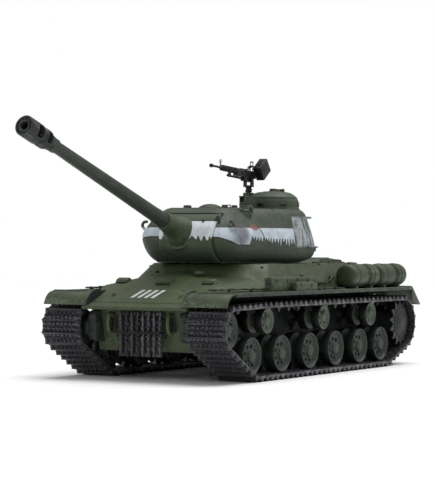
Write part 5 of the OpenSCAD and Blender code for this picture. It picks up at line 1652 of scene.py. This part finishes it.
s = Solid()
for x in (-5, 3):
    lug = Matrix.Translation((HINGE[0] + x, HINGE[1], HINGE[2])) @ Matrix.Rotation(pi / 2, 4, "Y")
    s.lathe([(1.05, 0), (1.75, 0), (1.75, 2), (1.05, 2)], 0, lug, 20)
    s.block((HINGE[0] + x, HINGE[1] - 1.6, HINGE[2] - 3), (HINGE[0] + x + 2, HINGE[1] + 1.6, HINGE[2] - 1))
for place in SLITS:
    s.block((R - 0.4, -4.4, 163.1), (R + 0.7, 4.4, 163.8), 0, place, 0.15)
    for y in (-4.2, 4.2):
        s.bolt(place @ Vector((R - 0.1, y, 161.4)), place.to_3x3() @ Vector((1, 0, 0)), 0.5, 0.5)
    between = place @ Matrix.Rotation(pi / 7, 4, "Z")
    s.bolt(between @ Vector((R + 0.1, 0, 158.4)), (0, 0, 1), 0.65, 0.6)
for k in range(16):
    t = 2 * pi * k / 16
    if abs(CUPOLA[0] + 22.6 * cos(t) - MG[0]) > 7 or k < 5:
        s.bolt((CUPOLA[0] + 17.6 * cos(t), CUPOLA[1] + 17.6 * sin(t), 173.1),
               (0.3 * cos(t), 0.3 * sin(t), 1), 0.5, 0.5)
s.tube([Vector((CUPOLA[0] + 23.7 * cos(t), CUPOLA[1] + 23.7 * sin(t), 168.9)) for t in
        [radians(a) for a in range(-115, 131, 6)]], 0.4, 0, 8)
piece("cupola_fittings", s, "turret", [M["turret"]], bevel=0.12)
s = Solid()
for place in SLITS:
    s.block((R - 1.7, -3.3, 160.3), (R - 0.9, 3.3, 162.5), 0, place)
piece("cupola_blocks", s, "turret", [M["glass"]], bevel=0)

s = Solid()
s.lathe([(0, 172.1), (10.1, 172.1), (10.6, 172.5), (10.6, 173.9), (10.1, 174.6), (8.8, 175.1), (5, 175.3),
         (0, 175.3)], 0,
        AT_CUPOLA, 56)
s.lathe([(0, 175), (3.9, 175), (3.9, 175.7), (3.4, 176), (3.4, 177.2), (2.8, 178), (0, 178)], 0, AT_CUPOLA,
        32)
s.block((-1.7, -4.1, 176), (1.7, -2.6, 177.5), 0, AT_CUPOLA, 0.15)
s.rod((HINGE[0] - 5, HINGE[1], HINGE[2]), (HINGE[0] + 5, HINGE[1], HINGE[2]), 0.9, 0, 16)
s.rod((HINGE[0] - 2.6, HINGE[1], HINGE[2]), (HINGE[0] + 2.6, HINGE[1], HINGE[2]), 1.5, 0, 20)
s.block((HINGE[0] - 2.6, HINGE[1] - 7.4, HINGE[2] - 1.4), (HINGE[0] + 2.6, HINGE[1] - 0.4, HINGE[2] + 0.4),
        0, None, 0.2)
s.bolts(6, 8.9, 174.9, 0.5, 0.5, AT_CUPOLA, 0.5)
piece("commander_lid", s, "commander_hatch", [M["turret"]], bevel=0.2,
      replaces=["commander_hatch"])

s = Solid()
c = 12.4
k = c - 4.2
at = Matrix.Translation((LOADER[0], LOADER[1], 157.3))
s.plate([(k, -c), (c, -k), (c, k), (k, c), (-k, c), (-c, k), (-c, -k), (-k, -c)], 2.1, 0, at)
s.plate([(k - 1, 1.6 - c), (c - 1.6, 1 - k), (c - 1.6, k - 1), (k - 1, c - 1.6), (1 - k, c - 1.6),
         (1.6 - c, k - 1),
         (1.6 - c, 1 - k), (1 - k, 1.6 - c)], 2.6, 0, at)
s.lathe([(0, 2.4), (3.4, 2.4), (3.4, 3.1), (3, 3.4), (3, 4.4), (2.3, 5), (0, 5)], 0,
        at @ Matrix.Translation((4, 0, 0)), 28)
s.rod((LOADER[0] - 14.5, LOADER[1] - 7, 158.9), (LOADER[0] - 14.5, LOADER[1] + 7, 158.9), 0.9, 0, 16)
s.rod((LOADER[0] - 14.5, LOADER[1] - 4.6, 158.9), (LOADER[0] - 14.5, LOADER[1] + 4.6, 158.9), 1.6, 0, 20)
s.block((-14.5, -4.6, 0.4), (-6, 4.6, 2.5), 0, at, 0.3)
s.handle(at @ Vector((8.4, -3, 2.4)), at @ Vector((8.4, 3, 2.4)), (0.5, 0, 2), 0.5, 10)
for x, y in ((k, -k - 1), (k, k + 1), (-k, -k - 1), (-k, k + 1)):
    s.bolt(at @ Vector((x, y, 2.5)), (0, 0, 1), 0.55, 0.5)
piece("loader_lid", s, "loader_hatch", [M["turret"]], bevel=0.2, replaces=["loader_hatch"])

# ---- Heavy machine gun ----

s = Solid()
at = Matrix.Translation((MG[0], MG[1], 0))
s.lathe([(0, 168.3), (2, 168.3), (2, 174.3), (3.0, 174.3), (3.3, 174.8), (3.3, 176.6), (2.7, 177),
         (2.7, 178.6), (3.3, 179),
         (3.3, 179.8), (0, 179.8)], 0, at, 28)
s.block((-4.7, -2.7, 179.6), (4.7, 2.7, 181.3), 0, at, 0.2)
for sign in (1, -1):
    s.side([(-2.6, 181), (2.6, 181), (2.2, 186.5), (1.3, 188.8), (-1.3, 188.8), (-2.2, 186.5)],
           sign * 3.8 - 0.8,
           sign * 3.8 + 0.8, 0, at)
    s.bolt(at @ Vector((sign * 4.6, 0, 183)), (sign, 0, 0), 0.7, 0.5)
s.rod(at @ Vector((0, 2.4, 177.8)), at @ Vector((0, 5.2, 177.4)), 0.6)
s.rod(at @ Vector((-1.4, 5.2, 177.4)), at @ Vector((1.4, 5.2, 177.4)), 0.55)
piece("gun_pintle", s, "mg_mount", [M["gunmetal"]], bevel=0.18, replaces=["mg_mount"])

IN_MG = Matrix.Translation(MG) @ Matrix.Rotation(radians(-4), 4, "X")
UP = IN_MG @ Matrix.Translation((0, 0, 6.4))
FORE = UP @ Matrix.Rotation(pi / 2, 4, "X")
s = Solid()
s.rod((-4.4, 0, 0), (4.4, 0, 0), 0.9, 0, 16, IN_MG)
s.side([(-12, -2), (5, -2), (5, 1.2), (3.8, 2), (-12, 2)], -2.4, 2.4, 0, IN_MG)
s.rod((0, -11, 0.2), (0, -40, 0.2), 1.1, 0, 14, IN_MG)
s.rod((0, -40, 0.2), (0, -43.5, 0.6), 1.4, 0, 14, IN_MG, 0.8)
s.block((-1.2, -40, 0.4), (1.2, -37, 4.6), 0, IN_MG, 0.2)
s.block((-2.6, -27, -4.6), (2.6, 10, 1.0), 0, UP)
s.block((-2.3, -24, 0.9), (2.3, 8.6, 2.6), 0, UP, 0.35)
s.block((-2.9, -20, 0.4), (2.9, -8, 3.2), 0, UP, 0.5)
s.rod((-2.9, 7.4, 2.4), (2.9, 7.4, 2.4), 0.8, 0, 12, UP)
s.block((2.4, -18, -2.2), (3.3, 2, -0.6), 0, UP, 0.1)
s.rod((2.8, -4, -1.4), (5.2, -4, -1.4), 0.65, 0, 10, UP)
for y in (-25, -21, -6, 2, 8):
    for z in (-3.6, 0):
        s.bolt(UP @ Vector((2.55, y, z)), (1, 0, 0), 0.42, 0.35, 0, 8)
        s.bolt(UP @ Vector((-2.55, y, z)), (-1, 0, 0), 0.42, 0.35, 0, 8)
fins = [(0, 26.5), (3.0, 26.5), (3.2, 27.6), (2.3, 28)]
for k in range(17):
    h = 28.6 + k * 1.55
    fins += [(2.1, h), (2.95, h + 0.15), (2.95, h + 0.65), (2.1, h + 0.8)]
fins += [(2.1, 55.8), (1.6, 56.4), (1.15, 57), (1.05, 70.4), (1.4, 71), (1.9, 74.6), (1.7, 75.4),
         (0.7, 75.4), (0.6, 73), (0, 73)]
s.lathe(fins, 0, FORE, 28)
s.block((-0.35, -57.6, 1), (0.35, -56.4, 7.4), 0, UP, 0.1)
s.tube([UP @ Vector((1.7 * cos(t * pi / 8), -57, 5.8 + 1.7 * sin(t * pi / 8))) for t in range(17)], 0.22, 0,
       8)
s.block((-1.7, 4.4, 2.4), (-1.1, 5.4, 11.8), 0, UP, 0.05)
s.block((1.1, 4.4, 2.4), (1.7, 5.4, 11.8), 0, UP, 0.05)
s.block((-1.7, 4.3, 11.2), (1.7, 5.5, 12.4), 0, UP, 0.1)
s.block((-1.2, 4.5, 6.8), (1.2, 5.3, 8.0), 0, UP, 0.1)
s.block((-3.9, 9.8, -1.7), (3.9, 12.6, -0.4), 0, UP, 0.15)
s.block((-3.9, 9.8, 1.4), (3.9, 12.6, 2.3), 0, UP, 0.15)
for sign in (1, -1):
    s.lathe([(0, 0), (0.8, 0.2), (1.05, 1.4), (0.8, 3.2), (1.05, 5.2), (0.8, 6.6), (0, 6.8)], 0,
            UP @ Matrix.Translation((sign * 3, 12.6, -3.9)), 14)
s.block((-0.9, 9.8, -0.6), (0.9, 11.4, 1.6), 0, UP, 0.1)
piece("machine_gun", s, "heavy_mg", [M["gunmetal"]], bevel=0.12, segments=1,
      replaces=["heavy_mg"])

BOX = IN_MG @ Matrix.Translation((8.6, 10.5, 11.4)) @ Matrix.Rotation(radians(40), 4, "X")
s = Solid()
s.block((-4.2, -8.5, -7.2), (4.2, 8.5, 5.4), 0, BOX)
s.block((-4.4, -8.7, 5.2), (4.4, 8.7, 7.1), 0, BOX, 0.4)
for a, b in ((-4.346, -4.1), (4.1, 4.346)):
    s.block((a, -6.4, -5.4), (b, 6.4, 3.6), 0, BOX, 0.05)
    s.block((a, -0.7, -6.6), (b, 0.7, 4.8), 0, BOX, 0.02)
s.handle(BOX @ Vector((0, -3.4, 7)), BOX @ Vector((0, 3.4, 7)), BOX.to_3x3() @ Vector((0, 0, 1.6)), 0.45, 10)
s.block((-1, -9.2, 3.4), (1, -8.4, 6.4), 0, BOX, 0.1)
s.block((2, 0, 4), (6, 6, 8), 0, IN_MG, 0.3)
s.side([(-1, 3.4), (7, 3.4), (9, 6), (7, 6.6), (-1, 4.6)], 4.2, 5.2, 0, IN_MG)
piece("ammunition_box", s, "heavy_mg", [M["gunmetal"]], bevel=0.2, segments=2)
s = Solid()
for k in range(9):
    t = k / 8
    p = Vector((6.6 - 3.6 * t, -2.0 - 8 * t, 12.6 - 4.6 * t + 2.4 * sin(pi * t)))
    turn = IN_MG @ Matrix.Translation(p) @ Matrix.Rotation(pi / 2, 4, "X")
    s.lathe([(0, -3.2), (0.6, -3.2), (0.62, 1.2), (0.36, 2.0), (0.32, 3.0), (0, 4)], 0, turn, 10)
piece("cartridge_belt", s, "heavy_mg", [M["rope"]], bevel=0)

# ---- Inside: the CAD's own solids, with finishes ----


def dress(node, material):
    """Gives a CAD node its finish."""
    obj = NODES[node]
    obj.data.materials.clear()
    obj.data.materials.append(material)


# The lower hull takes the tub's dark green, painted shade between the tracks.
dress("lower_hull", M["tub"])
dress("battery_pack", M["cell"])
dress("control_board", M["board"])
dress("drive_units", M["metal"])
dress("traverse_motor", M["metal"])
dress("traverse_pinion", M["gear"])
dress("turret_ring_gear", M["gear"])

# ---- Floor, light and camera ----

floor = bpy.data.meshes.new("floor")
floor.from_pydata([(-4, -4, 0), (4, -4, 0), (4, 4, 0), (-4, 4, 0)], [], [(0, 1, 2, 3)])
ground = as_object("floor", floor)
n = Nodes("pale_floor")
tone = n.ramp(n.noise(3, 3), 0.3, 0.7)
n.finish(n.mix(tone, (0.97, 0.97, 0.97, 1), (0.95, 0.95, 0.95, 1)), 0.7,
         n.bump(n.noise(400, 3), 0.0001, 0.1), specular=0.25)
floor.materials.append(n.material)


def area_light(name, at, target, size, energy, colour=(1, 1, 1)):
    """A square lamp at a point, turned towards its target; in metres."""
    data = bpy.data.lights.new(name, "AREA")
    data.energy = energy
    data.color = colour
    data.size = size
    lamp = bpy.data.objects.new(name, data)
    SCENE.collection.objects.link(lamp)
    lamp.location = at
    lamp.rotation_euler = (Vector(target) - Vector(at)).to_track_quat("-Z", "Y").to_euler()


sun = bpy.data.lights.new("overhead", "SUN")
sun.energy = 2.45
sun.angle = radians(50)
lamp = bpy.data.objects.new("overhead", sun)
SCENE.collection.objects.link(lamp)
lamp.rotation_euler = (radians(-14), radians(8), 0)
area_light("front_fill", (1.0, -1.6, 0.9), (0, -0.05, 0.08), 0.9, 3.5, (0.97, 0.99, 1))
area_light("left_fill", (-1.2, -1.1, 0.7), (0, 0, 0.1), 0.6, 4)
area_light("rear_rim", (1.0, 1.3, 1.0), (0, 0.05, 0.1), 0.7, 4)

# The world is white to the camera and a dimmer, softer white as a light
world = bpy.data.worlds.new("studio")
SCENE.world = world
world.use_nodes = True
tree = world.node_tree
back = next(q for q in tree.nodes if q.type == "BACKGROUND")
seen = tree.nodes.new("ShaderNodeLightPath")
level = tree.nodes.new("ShaderNodeMapRange")
tree.links.new(seen.outputs["Is Camera Ray"], level.inputs["Value"])
level.inputs["To Min"].default_value = 0.35
level.inputs["To Max"].default_value = 1.0
tree.links.new(level.outputs["Result"], back.inputs["Strength"])
tint = tree.nodes.new("ShaderNodeMix")
tint.data_type = "RGBA"
tree.links.new(seen.outputs["Is Camera Ray"], tint.inputs[0])
tint.inputs[6].default_value = (0.97, 0.99, 1.02, 1)
tint.inputs[7].default_value = (1, 1, 1, 1)
tree.links.new(tint.outputs[2], back.inputs["Color"])
SCENE.view_settings.view_transform = "Standard"

camera = bpy.data.cameras.new("camera")
view = bpy.data.objects.new("camera", camera)
SCENE.collection.objects.link(view)
camera.lens = 140.2
camera.sensor_width = 36
camera.clip_start = 0.01
camera.clip_end = 50
CAMERA_AT = (917.9, -1632, 123.9)
HEADING, TILT, ROLL = radians(29.763), radians(-0.117), radians(0.303)
turn = Matrix.Rotation(HEADING, 4, "Z") @ Matrix.Rotation(pi / 2 + TILT, 4, "X")
turn = turn @ Matrix.Rotation(ROLL, 4, "Z")
view.matrix_world = Matrix.Translation(Vector((CAMERA_AT[0], CAMERA_AT[1] + SHIFT, CAMERA_AT[2])) * MM) @ turn
SCENE.camera = view
